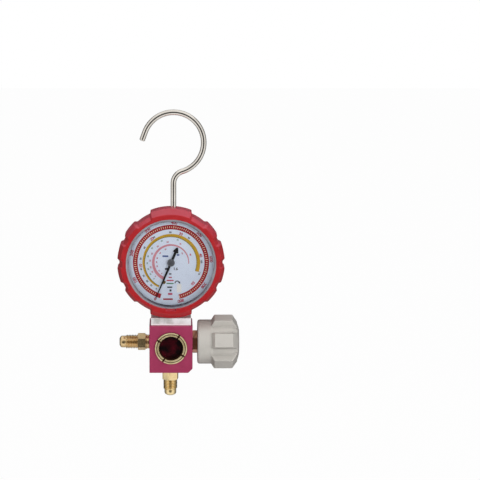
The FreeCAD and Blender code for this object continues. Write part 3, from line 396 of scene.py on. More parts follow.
def combine(tree, operation, first, second):
    """Vector arithmetic on two vectors, or on a vector and a scale."""
    label = "Scale" if operation == "SCALE" else 1
    node = add_node(tree, "VectorMath", {0: first, label: second}, operation=operation)
    return node.outputs["Value" if operation == "DOT_PRODUCT" else "Vector"]


def stretch(tree, value, span=(0, 1), onto=(0, 1)):
    """Maps one span of values onto another."""
    ends = dict(zip(("From Min", "From Max", "To Min", "To Max"), (*span, *onto)))
    return add_node(tree, "MapRange", {"Value": value, **ends}).outputs["Result"]


def graded(tree, mask, *stops):
    """A ramp over a mask: each stop is a position with a colour or a grey level."""
    node = add_node(tree, "ValToRGB", {"Fac": mask})
    elements = node.color_ramp.elements
    while len(elements) < len(stops):
        elements.new(0.5)
    for element, (position, tone) in zip(elements, stops):
        element.position = position
        element.color = tone if isinstance(tone, tuple) else (tone, tone, tone, 1)
    return node.outputs["Color"]


def layered(tree, mask, under, over):
    """One tone over another, where a mask says."""
    mix = add_node(tree, "Mix", data_type="RGBA")
    for label, source in (("Factor", mask), ("A", under), ("B", over)):
        feed(tree, mix.inputs[label], source)
    return mix.outputs["Result"]


def axes(tree, system="Object"):
    """The X, Y and Z of a coordinate, such as a point's place in its object."""
    place = add_node(tree, "TexCoord").outputs[system]
    return add_node(tree, "SeparateXYZ", {"Vector": place}).outputs


def effect(name, inputs, outputs=("Mask",)):
    """A new node group, with the sockets that its inputs give and its outputs take."""
    group = bpy.data.node_groups.new(name, "ShaderNodeTree")
    for label, value in inputs.items():
        kind = "NodeSocketVector" if isinstance(value, tuple) else "NodeSocketFloat"
        group.interface.new_socket(label, in_out="INPUT", socket_type=kind).default_value = value
    for label in outputs:
        group.interface.new_socket(label, in_out="OUTPUT", socket_type="NodeSocketFloat")
    given = group.nodes.new("NodeGroupInput").outputs
    made = group.nodes.new("NodeGroupOutput").inputs
    return group, given, made


def make_grain():
    """Fine and broad mottling: a tone about one half, and a height for the bump."""
    group, given, made = effect(
        "fine_grain", {"Scale": 900.0, "Breadth": 60.0, "Mix": 0.5}, ("Tone", "Height"))
    place = add_node(group, "TexCoord").outputs["Object"]
    fine = add_node(group, "TexNoise", {"Vector": place, "Scale": given["Scale"], "Detail": 4})
    broad = add_node(group, "TexNoise", {"Vector": place, "Scale": given["Breadth"], "Detail": 3})
    blend = add_node(group, "Mix", {
        "Factor": given["Mix"], "A": fine.outputs["Fac"], "B": broad.outputs["Fac"]})
    feed(group, made["Tone"], blend.outputs["Result"])
    feed(group, made["Height"], fine.outputs["Fac"])
    return group


def make_tool_lines():
    """Fine lines square to an axis, as a lathe or a drawing die leaves them."""
    group, given, made = effect(
        "tool_lines", {"Along": (0, 0, 1), "Across": (8, 8, 8), "Scale": 2500.0}, ("Tone", "Height"))
    place = add_node(group, "TexCoord").outputs["Object"]
    along = combine(group, "SCALE", combine(group, "MULTIPLY", place, given["Along"]), given["Scale"])
    across = combine(group, "MULTIPLY", place, given["Across"])
    both = combine(group, "ADD", along, across)
    lines = add_node(group, "TexNoise", {"Vector": both, "Scale": 1.0, "Detail": 3})
    feed(group, made["Tone"], lines.outputs["Fac"])
    feed(group, made["Height"], lines.outputs["Fac"])
    return group


def make_edge_wear():
    """A mask of the edges, where a rounded normal leaves the true one, broken up by grain: rubbed edges on
    most finishes, a painted highlight along the wheel's edges.
    """
    group, given, made = effect("edge_wear_and_highlight", {"Width": 0.0006, "Sharpness": 8.0})
    rounded = add_node(group, "Bevel", {"Radius": given["Width"]}, samples=6).outputs["Normal"]
    true_normal = add_node(group, "NewGeometry").outputs["Normal"]
    departure = calc(group, "SUBTRACT", 1.0, combine(group, "DOT_PRODUCT", rounded, true_normal))
    sharpened = calc(group, "MULTIPLY", departure, given["Sharpness"])
    place = add_node(group, "TexCoord").outputs["Object"]
    patches = add_node(group, "TexNoise", {"Vector": place, "Scale": 400}).outputs["Fac"]
    feed(group, made["Mask"], calc(group, "MULTIPLY", sharpened, patches, clamp=True))
    return group


def make_crevices():
    """A mask of the corners that little light reaches: colour laid there is painted shade."""
    group, given, made = effect("painted_crevice_shade", {"Reach": 0.002})
    open_sky = add_node(group, "AmbientOcclusion", {"Distance": given["Reach"]}, samples=8)
    feed(group, made["Mask"], stretch(group, open_sky.outputs["AO"], (0.92, 0.4)))
    return group


def make_bloom():
    """A mask of the faces that look up, where light is painted: a painted sheen on the boot and a painted
    dark reflection on the bezel.
    """
    group, given, made = effect("painted_light_on_tops", {"Amount": 0.7})
    facing_up = axes(group, "Normal")["Z"]
    feed(group, made["Mask"], stretch(group, facing_up, (0.3, 0.8), (0, given["Amount"])))
    return group


fine_grain = make_grain()
tool_lines = make_tool_lines()
edge_wear_and_highlight = make_edge_wear()
painted_crevice_shade = make_crevices()
painted_light_on_tops = make_bloom()


# Finishes

def tint(red, green, blue):
    """A colour from daylight values of 0 to 255."""
    linear = []
    for value in (red, green, blue):
        share = value / 255
        linear.append(share / 12.92 if share <= 0.04045 else ((share + 0.055) / 1.055) ** 2.4)
    return (*linear, 1.0)


def plain_finish(name, metallic=0.0):
    """A new material, its node tree and its shader, ready for its effects."""
    material = bpy.data.materials.new(name)
    material.use_nodes = True
    shader = material.node_tree.nodes["Principled BSDF"]
    shader.inputs["Metallic"].default_value = metallic
    return material, material.node_tree, shader


def placed(tree, group, **values):
    """The outputs of an effect, placed in a material with its own values."""
    return add_node(tree, "Group", values, node_tree=group).outputs


def two_tones(tree, mask, dark, light, low=0.35, high=0.65):
    return graded(tree, mask, (low, tint(*dark)), (high, tint(*light)))


def dress(tree, shader, sources):
    for label, source in sources.items():
        feed(tree, shader.inputs[label], source)


def bump(tree, height, strength, distance):
    node = add_node(tree, "Bump", {"Height": height, "Strength": strength, "Distance": distance * MM})
    return node.outputs["Normal"]


def moulded(name, dark, light, rough, scale=700.0, depth=0.03, metallic=0.0, edge_tone=None, crevice_shade_tone=None):
    """A moulded or painted skin: mottled colour, fine grain, paler edges (a painted highlight on the wheel)
    and painted shade in its corners.
    """
    material, tree, shader = plain_finish(name, metallic)
    grain = placed(tree, fine_grain, Scale=scale, Breadth=scale / 14, Mix=0.6)
    colour = two_tones(tree, grain["Tone"], dark, light)
    if edge_tone:
        edge_mask = placed(tree, edge_wear_and_highlight, Width=0.7 * MM, Sharpness=4.0)
        colour = layered(tree, edge_mask["Mask"], colour, tint(*edge_tone))
    # Painted shade: a darker tone where ambient occlusion finds corners.
    if crevice_shade_tone:
        colour = layered(tree, placed(tree, painted_crevice_shade, Reach=2.8 * MM)["Mask"], colour, tint(*crevice_shade_tone))
    dress(tree, shader, {"Base Color": colour, "Roughness": stretch(tree, grain["Tone"], onto=rough),
                         "Normal": bump(tree, grain["Height"], 0.5, depth)})
    return material


def machined(name, dark, light, rough, along, scale=9000.0, depth=0.006, edge_tone=None, metallic=1.0):
    """Cut or drawn metal: fine lines square to an axis, tarnish in patches and bright edges."""
    material, tree, shader = plain_finish(name, metallic)
    lines = placed(tree, tool_lines, Along=along, Across=(60, 60, 60), Scale=scale)
    grain = placed(tree, fine_grain, Scale=1400.0, Breadth=110.0, Mix=0.75)
    colour = two_tones(tree, grain["Tone"], dark, light, 0.38, 0.62)
    if edge_tone:
        edge_mask = placed(tree, edge_wear_and_highlight, Width=0.35 * MM, Sharpness=6.0)
        colour = layered(tree, edge_mask["Mask"], colour, tint(*edge_tone))
    dress(tree, shader, {"Base Color": colour, "Roughness": stretch(tree, lines["Tone"], onto=rough),
                         "Normal": bump(tree, lines["Height"], 0.35, depth)})
    return material


def overlay(material, mask, tone):
    """Lays one more tone over a material's colour, where a mask says."""
    tree = material.node_tree
    base = tree.nodes["Principled BSDF"].inputs["Base Color"]
    feed(tree, base, layered(tree, mask, base.links[0].from_socket, tint(*tone)))


def add_bloom(material, amount, tone):
    overlay(material, placed(material.node_tree, painted_light_on_tops, Amount=amount)["Mask"], tone)


def make_boot_rubber():
    """Red rubber with paler edges, a soft sheen, and a painted sheen where it looks up."""
    material = moulded("boot_rubber", (168, 10, 20), (180, 15, 25), (0.3, 0.42), 1500.0, 0.03,
                       edge_tone=(202, 60, 72))
    shader = material.node_tree.nodes["Principled BSDF"]
    dress(material.node_tree, shader, {
        "Specular IOR Level": 0.55, "Sheen Weight": 0.2, "Sheen Roughness": 0.4,
        "Sheen Tint": tint(255, 160, 176)})
    # Painted sheen: a pale pink laid on the faces that look up.
    add_bloom(material, 0.75, (214, 72, 92))
    return material


boot_rubber = make_boot_rubber()
hook_wire = machined("hook_wire", (220, 214, 205), (238, 232, 223), (0.12, 0.18), (0, 1, 0),
                     scale=1200.0, depth=0.001)
case_steel = machined("case_steel", (118, 121, 124), (142, 145, 148), (0.3, 0.48), (1, 0, 1))
bezel_metal = machined("bezel_metal", (176, 176, 184), (194, 194, 202), (0.18, 0.3), (0, 1, 0),
                       metallic=0.55)
# Painted dark reflection: a dark violet laid on the bezel's faces that look up, at the bottom of its window.
add_bloom(bezel_metal, 0.85, (58, 46, 64))
works_brass = machined("works_brass", (178, 150, 88), (206, 180, 116), (0.25, 0.4), (0, 1, 0))
screw_steel = machined("screw_steel", (150, 150, 148), (182, 182, 180), (0.25, 0.42), (0, 1, 0))
# The side and lower ports are one brass, set darker at the side and lighter below: painted shade and painted
# light.
brass_x = machined("fitting_brass_side", (214, 184, 134), (234, 206, 158), (0.22, 0.36), (1, 0, 0),
                   edge_tone=(236, 218, 168))
brass_z = machined("fitting_brass_lower", (236, 210, 156), (250, 228, 178), (0.16, 0.34), (0, 0, 1),
                   edge_tone=(238, 220, 170))
# Redder and darker than the other brass: painted shade from the wheel and a painted reflection of the red
# block.
bonnet_brass = machined("bonnet_brass", (190, 120, 92), (214, 148, 116), (0.2, 0.38), (1, 0, 0),
                        edge_tone=(206, 170, 130))
# Its dark corner tone is painted shade, laid where ambient occlusion finds corners.
# Its pale edge tone is partly rubbed edges and partly a painted highlight along the lobes' edges.
wheel_satin = moulded("wheel_satin", (194, 190, 183), (204, 200, 193), (0.36, 0.48), 1100.0, 0.03,
                      metallic=0.1, edge_tone=(236, 232, 225), crevice_shade_tone=(44, 42, 39))
cap_satin = moulded("cap_satin", (176, 172, 166), (186, 182, 176), (0.3, 0.42), 1300.0, 0.02,
                    metallic=0.1, edge_tone=(204, 200, 194))
seal_black = moulded("seal_black", (24, 24, 25), (36, 36, 37), (0.5, 0.7), 1500.0, 0.02)
seal_white = moulded("seal_white", (214, 211, 202), (228, 226, 219), (0.3, 0.45), 1500.0, 0.01)
dial_enamel = moulded("dial_enamel", (212, 222, 240), (220, 230, 247), (0.26, 0.34), 1800.0, 0.004)
pointer_black = moulded("pointer_black", (7, 8, 10), (13, 14, 16), (0.36, 0.5), 1600.0, 0.006)
screw_bronze = moulded("screw_bronze", (104, 82, 44), (126, 102, 58), (0.3, 0.42), 1400.0, 0.006,
                       metallic=0.4)
hub_grey = moulded("hub_grey", (92, 94, 100), (106, 108, 114), (0.3, 0.42), 1400.0, 0.006, metallic=0.4)

# Printed inks: even, satin, with a trace of the screen's grain
inks = {
    name: moulded("ink_" + name, dark, light, (0.38, 0.5), scale=2200.0, depth=0.004)
    for name, dark, light in (
        ("red", (150, 6, 26), (164, 14, 34)),
        ("crimson", (168, 44, 66), (182, 56, 78)),
        ("cream", (244, 222, 190), (250, 232, 204)),
        ("gold", (190, 148, 26), (206, 164, 38)),
        ("olive", (88, 84, 36), (104, 98, 46)),
        ("pink", (196, 128, 142), (208, 142, 154)),
        ("rose", (172, 62, 92), (186, 76, 104)),
        ("pale", (226, 225, 222), (234, 233, 230)),
        ("black", (34, 36, 44), (48, 50, 58)),
        ("green", (70, 122, 92), (86, 138, 106)),
        ("blue", (56, 78, 138), (70, 94, 152)))}


def make_anodised_block():
    """Dyed magenta below the neck's step, and bare bright metal above it, with painted highlights on the
    bare metal.
    """
    material, tree, shader = plain_finish("block_anodised")
    grain = placed(tree, fine_grain, Scale=1600.0, Breadth=130.0, Mix=0.5)["Tone"]
    stains = placed(tree, fine_grain, Scale=1600.0, Breadth=150.0, Mix=0.94)["Tone"]
    lines = placed(tree, tool_lines, Along=(0, 0, 1), Across=(40, 40, 0), Scale=7000.0)
    edge_mask = placed(tree, edge_wear_and_highlight, Width=0.5 * MM, Sharpness=5.0)
    point = axes(tree)
    dyed = two_tones(tree, grain, (162, 51, 88), (177, 60, 100))
    dyed = layered(tree, edge_mask["Mask"], dyed, tint(206, 110, 140))
    bare = two_tones(tree, stains, (192, 191, 188), (238, 238, 239), 0.4, 0.6)
    # Painted highlight: the bare neck grows whiter towards the right.
    painted_highlight_to_right = stretch(tree, point["X"], (middle("manifold_block").x, block_high.x))
    bare = layered(tree, painted_highlight_to_right, bare, tint(254, 254, 255))
    # Painted highlights: white bands at the foot of the neck, as a lit chamfer at the step, and at its top
    # face, painted against the boot's shadow.
    height = stretch(tree, point["Z"], (neck_step_z, block_high.z))
    edges = graded(tree, height, (0.0, 1), (0.14, 1), (0.2, 0), (0.97, 0), (0.98, 1))
    bare = layered(tree, edges, bare, tint(255, 255, 255))
    neck = calc(tree, "GREATER_THAN", point["Z"], neck_step_z)
    dress(tree, shader, {
        "Base Color": layered(tree, neck, dyed, bare),
        "Metallic": stretch(tree, neck, onto=(0.2, 0.05)),
        "Roughness": stretch(tree, grain, onto=(0.34, 0.46)),
        "Normal": bump(tree, lines["Height"], 0.3, 0.006)})
    return material


def make_ring_brass():
    """The brass of the sight glass ring, with painted shade in its groove, its slots and round its foot."""
    material = machined("fitting_brass_front", (214, 194, 146), (238, 220, 176), (0.2, 0.36), (0, 1, 0),
                        metallic=0.55)
    tree = material.node_tree
    # Painted shade: faces set back from the ring's front take a dark brown.
    depth = stretch(tree, axes(tree)["Y"], (sight.y - 1.62 * MM, sight.y - 1.42 * MM))
    overlay(material, depth, (74, 44, 26))
    return material


def make_glass(name, colour, painted_glint, clear_alpha, edge_alpha):
    """Clear glass that shows what is behind it, and closes up where it is seen edge on; patches of a second
    colour are painted glints.
    """
    material, tree, shader = plain_finish(name)
    grain = placed(tree, fine_grain, Scale=300.0, Breadth=130.0, Mix=0.8)["Tone"]
    facing = add_node(tree, "LayerWeight", {"Blend": 0.2}).outputs["Facing"]
    dress(tree, shader, {
        "Base Color": two_tones(tree, grain, colour, painted_glint, 0.45, 0.7),
        "Roughness": stretch(tree, grain, onto=(0.01, 0.05)),
        "Alpha": stretch(tree, facing, onto=(clear_alpha, edge_alpha))})
    return material


neck_step_z = block_low.z + 38.0 * MM
block_anodised = make_anodised_block()
brass_y = make_ring_brass()
lens_glass = make_glass("lens_glass", (30, 33, 38), (34, 37, 42), 0.02, 0.5)
# Near-opaque dark red: painted shade of the chamber behind the glass, with painted red glints in patches.
sight_glass = make_glass("sight_glass", (14, 2, 4), (78, 6, 21), 0.9, 0.98)


# Hook

def pull(by):
    """Extrudes the ring of edges in hand."""
    bpy.ops.mesh.extrude_edges_move(TRANSFORM_OT_translate={"value": by})


def make_hook():
    """One wire: a ring is extruded along the tip, spun round the loop and back round the bend."""
    reach = loop_r + lower_bend_r
    exit_angle = math.degrees(math.acos(lower_bend_r / reach))
    drop = reach * math.sin(math.radians(exit_angle))
    loop_centre = Vector((wire_x, 0, (wire_r - loop_r) * MM))
    bend_centre = loop_centre + Vector((lower_bend_r, 0, -drop)) * MM
    turn = math.radians(tip_angle)
    bend_start = loop_centre + Vector((math.cos(turn), 0, math.sin(turn))) * loop_r * MM
    way = Vector((-math.sin(turn), 0, math.cos(turn)))
    tip = bend_start + way * tip_length * MM
    choose()
    bpy.ops.mesh.primitive_circle_add(
        vertices=32, radius=wire_r * tip_flat * MM, location=tip, rotation=(0, -turn, 0))
    bpy.ops.object.mode_set(mode="EDIT")
    bpy.ops.mesh.edge_face_add()
    previous = tip_flat
    for share, step in tip_rounding:
        pull(-way * step * MM)
        tip -= way * step * MM
        grow = share / previous
        previous = share
        bpy.ops.transform.resize(value=(grow, grow, grow), center_override=tip)
    pull(bend_start - tip)
    bpy.ops.mesh.spin(steps=96, angle=SPIN_WAY * math.radians(tip_angle + exit_angle),
                      center=loop_centre, axis=Y_AXIS)
    bpy.ops.mesh.spin(steps=36, angle=-SPIN_WAY * math.radians(exit_angle),
                      center=bend_centre, axis=Y_AXIS)
    stem_top = bend_centre - X_AXIS * lower_bend_r * MM
    foot = Vector((wire_x, 0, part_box("hook")[0][2] + hook_head_h * MM))
    pull(foot - stem_top)
    pull((0, 0, 0))
    flare = hook_head_r / wire_r
    bpy.ops.transform.resize(value=(flare, flare, 1), center_override=foot)
    pull(-Z_AXIS * hook_head_h * MM)
    bpy.ops.mesh.edge_face_add()
    mend_surface()
    finish(named("hook_wire"), "hook", hook_wire, ["hook"])


# Boot

def boot_envelope(station, slope_back=boot_slope_back):
    """The largest radius of the boot at a station: a long slope in front, a shorter one behind."""
    if station < slope_back:
        share = (station - boot_front) / (slope_back - boot_front)
        return boot_ring_r + (boot_envelope_r - boot_ring_r) * share
    if station > boot_taper_back:
        share = (boot_back - station) / (boot_back - boot_taper_back)
        return boot_back_r + (boot_envelope_r - boot_back_r) * share
    return boot_envelope_r


def boot_valley(station):
    """The boot's radius between its lobes, drawn in at the front and at the back."""
    share = min(1, (station - boot_front) / (boot_valley_back - boot_front))
    drawn_in = boot_valley_front_r + (boot_valley_r - boot_valley_front_r) * share
    return min(drawn_in, boot_envelope(station))


def raise_lobe(station, angles, half, lobe_r, slope_back=boot_slope_back):
    """Pushes one ring of the boot's outer wall out along some lobes, with a short ramp at each end."""
    low = boot_valley(station)
    grow = math.sqrt(min(lobe_r, boot_envelope(station, slope_back)) / low)
    for margin in (0.6, -0.6):
        def on_lobe(point):
            from_centre = point - gauge
            turn = math.degrees(math.atan2(from_centre.z, from_centre.x))
            near = any(abs((turn - place + 180) % 360 - 180) <= half + margin for place in angles)
            outer = math.hypot(from_centre.x, from_centre.z) > (low - 0.3) * MM
            return near and outer and abs(from_centre.y - station * MM) < 0.2 * MM
        pick("verts", on_lobe)
        bpy.ops.transform.resize(value=(grow, 1, grow), center_override=gauge)


def make_boot():
    """The rubber boot: a turned skirt whose outer rings are pushed out at each lobe, moulded as one."""
    stations = [boot_front, -15.4, boot_low_slope_back, boot_valley_back, -10.3, boot_slope_back,
                boot_taper_back, 8.0, 10.4]
    wall = [(boot_valley(station), station) for station in stations]
    boot = turned("boot", closed(
        [(boot_window_r, boot_front)] + wall
        + [(boot_back_r, boot_back), (boot_rear_r, boot_back), (boot_rear_r, case_seat_back),
           (case_seat_r, case_seat_back), (case_seat_r, bezel_seat_back), (bezel_seat_r, bezel_seat_back),
           (bezel_seat_r, bezel_seat_front), (bezel_bead_r + 0.2, bezel_seat_front),
           (bezel_bead_r + 0.2, boot_lip_back), (boot_window_r, boot_lip_back)]), gauge, Y_AXIS, 360)
    small = [place for angle in small_lobe_angles for place in (angle, 180 - angle, 180 + angle, -angle)]
    edit(boot)
    for station in stations:
        raise_lobe(station, small, small_lobe_half, boot_lobe_r)
        raise_lobe(station, (90,), wide_lobe_half, boot_wide_lobe_r)
        raise_lobe(station, (270,), wide_lobe_half, boot_wide_lobe_r, boot_low_slope_back)
    carve(boot, peg("hook_hole", Vector((wire_x, 0, gauge.z)), Z_AXIS, hook_hole_r, 45))
    carve(boot, peg("stem_hole", gauge, -Z_AXIS, stem_hole_r, 45))
    notch_centre = gauge + Vector((0, -16.0, -boot_window_r)) * MM
    carve(boot, block("notch", notch_centre, Vector((8.0, 4.0, 3.2))))
    mould(boot, 0.42, 2)
    finish(boot, "manifold", boot_rubber, ["gauge_boot"], smooth=60)


# Bezel and lens

def make_bezel():
    bezel = turned("bezel", closed([
        (bezel_outer_r, bezel_back), (bezel_outer_r, -12.6), (bezel_outer_r - 0.4, bezel_flange_front),
        (bezel_bead_r, bezel_flange_front), (bezel_bead_r, -14.8), (bezel_bead_r - 0.15, bezel_front),
        (bezel_bead_r - 0.15, -15.3), (bezel_bead_r - 0.25, -15.3), (bezel_bead_r - 0.6, bezel_front),
        (bezel_window_r + 1.4, bezel_front), (bezel_window_r + 0.4, -13.6), (bezel_window_r, -12.9),
        (bezel_window_r, lens_front), (bezel_bore_r, lens_front), (bezel_bore_r, bezel_back)]),
        gauge, Y_AXIS, 160)
    round_edges(bezel, 0.08, 2, 40)
    finish(bezel, "manifold", bezel_metal, ["bezel_ring"])


def make_lens():
    lens = turned("lens", [(0, lens_front), (lens_r, lens_front), (lens_r, lens_back), (0, lens_back)],
                  gauge, Y_AXIS, 128)
    round_edges(lens, 0.2)
    finish(lens, "manifold", lens_glass, ["gauge_lens"])


# Dial and its printing

def on_dial(radius, degrees, layer=1):
    """A place on the dial, clockwise from straight down; each layer of ink lies on the last."""
    angle = math.radians(degrees)
    forward = dial_front - print_lift * layer
    return gauge + Vector((-radius * math.sin(angle), forward, -radius * math.cos(angle))) * MM


def thicken():
    """Gives the sheet in edit mode a print's thickness and points its faces outwards."""
    take_all()
    bpy.ops.mesh.extrude_region_move(TRANSFORM_OT_translate={"value": Y_AXIS * print_lift * 0.6 * MM})
    mend_surface()
    leave_edit()


def finish_print(piece, ink):
    finish(piece, "manifold", inks[ink])


def arc_print(name, ink, radii, widths, start, end, layer=1):
    """A printed arc whose radius and width change evenly from its start to its end."""
    count = int((end - start) / 2)
    places = [k / count for k in range(count + 1)]

    def edge(side, share):
        middle_r = radii[0] + (radii[1] - radii[0]) * share
        half = (widths[0] + (widths[1] - widths[0]) * share) / 2
        return on_dial(middle_r + side * half, start + (end - start) * share, layer)

    outline = [edge(1, share) for share in places] + [edge(-1, share) for share in reversed(places)]
    drawn(outline[0], closed(outline)[1:])
    take_all()
    bpy.ops.mesh.remove_doubles(threshold=SEAM)
    bpy.ops.mesh.edge_face_add()
    thicken()
    finish_print(named(name), ink)


def tick_print(name, ink, radius, length, width, start, end, count, layer=2):
    """A row of ticks: one small plate spun about the dial as separate copies."""
    half = math.degrees(width / 2 / radius)
    inner, outer = radius - length / 2, radius + length / 2
    corners = [on_dial(inner, start - half, layer), on_dial(outer, start - half, layer),
               on_dial(outer, start + half, layer), on_dial(inner, start + half, layer)]
    drawn(corners[0], corners[1:])
    take_all()
    bpy.ops.mesh.edge_face_add()
    bpy.ops.mesh.spin(steps=count - 1, dupli=True, angle=SPIN_WAY * math.radians(end - start),
                      center=gauge, axis=Y_AXIS)
    thicken()
    finish_print(named(name), ink)


def lettering(words, place, turn, size):
    """A numeral that lies on the dial, turned clockwise from upright."""
    choose()
    bpy.ops.object.text_add(location=place, rotation=(math.pi / 2, math.radians(turn), 0))
    text = bpy.context.object
    text.data.body = words
    text.data.size = size * MM
    text.data.align_x = "CENTER"
    text.data.align_y = "CENTER"
    text.data.resolution_u = 3
    text.data.offset = 0.035 * size * MM
    text.data.extrude = print_lift * 0.3 * MM
    bpy.ops.object.convert(target="MESH")
    return bpy.context.object


def dash(x, z, width, height):
    centre = gauge + Vector((x, dial_front - print_lift, z)) * MM
    return block("dash", centre, Vector((width, print_lift * 0.6, height)))


def spread(start, end, count):
    """Places of a scale with even steps."""
    return [start + (end - start) * (k / (count - 1)) for k in range(count)]


def make_dial():
    dial = turned("dial", [(0, dial_front), (dial_r, dial_front), (dial_r, dial_front + 0.8),
                           (0, dial_front + 0.8)], gauge, Y_AXIS, 128)
    round_edges(dial, 0.1)
    finish(dial, "manifold", dial_enamel, ["dial_plate"])
    arc_print("pressure_band", "red", (band_r, band_r), (band_w, band_w), band_start, band_end)
    tick_print("band_ticks", "cream", band_r, 1.25, 0.42, pressure_start, pressure_end, 97)
    tick_print("band_long_ticks", "cream", band_r + 0.1, 2.0, 0.42, pressure_start, pressure_end, 17, 3)
    arc_print("gold_arc", "gold", (gold_r, gold_r), (1.3, 2.8), gold_start, gold_end)
    arc_print("gold_edge", "olive", (gold_r - 0.75, gold_r - 1.45), (0.4, 0.4), gold_start, gold_end, 2)
    tick_print("gold_ticks", "olive", gold_r - 0.6, 0.8, 0.2, gold_start, gold_end, 66, 3)
    arc_print("pink_arc", "pink", (pink_r, pink_r), (2.5, 0.7), pink_start, pink_end)


def make_numerals():
    """The plain numerals of each scale: their values, radius and size, and the degrees they stand at."""
    scales = (
        ("pressure_numerals", "crimson", range(0, 900, 100), 31.5, 3.3,
         spread(pressure_start, pressure_end, 9)),
        ("inner_numerals", "crimson", range(10, 60, 10), 23.9, 3.0, spread(83.7, 313.9, 5)),
        ("gold_numerals", "black", range(0, 120, 10), 23.9, 1.9,
         (28.8, 40.1, 51.3, 63.4, 77.3, 97.2, 119.4, 146.4, 178.8, 215.7, 268.0, 291.0)),
        ("green_numerals", "green", range(0, 80, 10), 18.6, 1.6,
         (46.0, 60.0, 73.4, 88.0, 105.0, 127.3, 157.0, 196.0)),
        ("rose_numerals", "rose", range(0, 90, 10), 16.4, 1.7,
         (48.0, 62.7, 76.4, 95.0, 115.0, 141.0, 170.7, 206.0, 248.0)),
        ("small_numerals", "rose", range(0, 80, 10), 11.3, 1.6,
         (39.8, 54.0, 74.0, 91.0, 107.4, 131.0, 157.8, 230.0)))
    for name, ink, values, radius, size, places in scales:
        pieces = [lettering(str(value), on_dial(radius, place), place + 180, size)
                  for value, place in zip(values, places)]
        finish_print(join(name, *pieces), ink)
    accuracy = lettering("1.6", gauge + Vector((3.6, dial_front - print_lift, -5.2)) * MM, 0, 2.9)
    finish_print(accuracy, "black")


def make_legend():
    """Dashes of each ink where a dial has its words: across, up, width and height."""
    legend = (
        ("legend_dark", "black", ((-3.7, -5.2, 2.2, 1.5), (-0.6, -9.2, 2.0, 1.0), (-1.0, -19.8, 4.0, 1.1),
                                  (-0.4, -22.4, 1.6, 1.6))),
        ("legend_rose", "rose", ((-0.6, -12.0, 2.6, 0.9), (-0.7, -14.4, 5.4, 1.0), (-0.6, -25.2, 3.4, 1.6))),
        ("legend_green", "green", ((-0.7, -16.8, 5.6, 1.0),)),
        ("legend_blue", "blue", ((-4.4, 5.0, 4.6, 1.3), (5.6, 6.0, 2.0, 1.3))),
        ("legend_red", "red", ((-2.4, -29.4, 7.6, 1.2),)),
        ("pale_patch", "pale", ((6.4, -20.6, 3.4, 6.8),)))
    for name, ink, places in legend:
        finish_print(join(name, *[dash(*place) for place in places]), ink)


def make_set_mark():
    """The small curved arrow beside the zero screw."""
    centre = gauge + Vector((4.9, 0, -16.6)) * MM
    front = Y_AXIS * (dial_front - print_lift) * MM
    start = centre + front - X_AXIS * 2.1 * MM
    drawn(start, [start + X_AXIS * 0.75 * MM])
    take_all()
    bpy.ops.mesh.spin(steps=14, angle=SPIN_WAY * math.radians(150), center=centre, axis=Y_AXIS)
    thicken()
    shaft = named("arrow_shaft")
    choose()
    head_centre = centre + front + Vector((1.75, 0, 0.5)) * MM
    bpy.ops.mesh.primitive_circle_add(vertices=3, radius=1.1 * MM, fill_type="NGON",
                                      location=head_centre, rotation=(math.pi / 2, 0.5, 0))
    bpy.ops.object.mode_set(mode="EDIT")
    thicken()
    finish_print(join("set_arrow", shaft, named("arrow_head")), "black")


# Pointer and zero screw

def make_pointer():
    half, tip_half, head_half = 1.0, 0.3, 2.4
    head_start = pointer_tail_r - 4.4
    outline = [(tip_half, -pointer_tip_r), (half, 0), (half, head_start), (head_half, head_start + 0.4),
               (0.5, pointer_tail_r), (-0.5, pointer_tail_r), (-head_half, head_start + 0.4),
               (-half, head_start), (-half, 0), (-tip_half, -pointer_tip_r)]
    points = [gauge + Vector((x, 0, z)) * MM for x, z in outline]
    needle = prism("needle", points, pointer_front, pointer_h)
    boss = peg("needle_boss", gauge + Y_AXIS * pointer_front * MM, Y_AXIS, 2.4, pointer_h)
    carve(needle, boss, "UNION")
    round_edges(needle, 0.1, 2)
    turn_about(needle, gauge, 1, pointer_rest)
    finish(needle, "pointer", pointer_black, ["pointer"])


def make_hub():
    hub = turned("hub", [(0, -9.2), (1.0, -9.2), (1.5, -9.12), (1.65, -8.95), (1.9, -8.95), (2.1, -9.08),
                         (2.6, -8.98), (2.9, -8.8), (3.0, -8.6), (3.0, -8.4), (0, -8.4)], gauge, Y_AXIS, 64)
    boss = peg("hub_boss", gauge + Y_AXIS * -8.0 * MM, Y_AXIS, 1.5, 0.8, 32)
    finish(join("pointer_hub_disc", hub, boss), "pointer", hub_grey, ["pointer_hub"])


def make_zero_screw():
    centre = gauge + Vector((zero_x, 0, zero_z)) * MM
    head = turned("zero_screw_head", [(0, -7.35), (0.9, -7.35), (1.3, -7.15), (1.3, -6.62), (0.7, -6.62),
                                      (0.7, -3.4), (0, -3.4)], centre, Y_AXIS, 40)
    cutter = block("slot", centre - Y_AXIS * 7.3 * MM, Vector((3.2, 0.5, 0.4)))
    turn_about(cutter, centre, 1, -35)
    carve(head, cutter)
    round_edges(head, 0.05)
    finish(head, "zero_screw", screw_bronze, ["zero_screw"])


# Ports

def hexagon(name, centre, axis, across, start, length, crown):
    """A hexagon with a corner up, its corners turned off at a slant at each end."""
    corner = across / math.sqrt(3)
    nut = turned(name, [(0, start), (corner, start), (corner, start + length), (0, start + length)],
                 centre, axis, 6)
    low = corner - crown
    dressing = turned("dressing", [
        (0, start), (low, start), (corner, start + crown * 0.58), (corner, start + length - crown * 0.58),
        (low, start + length), (0, start + length)], centre, axis, 96)
    carve(nut, dressing, "INTERSECT")
    return nut


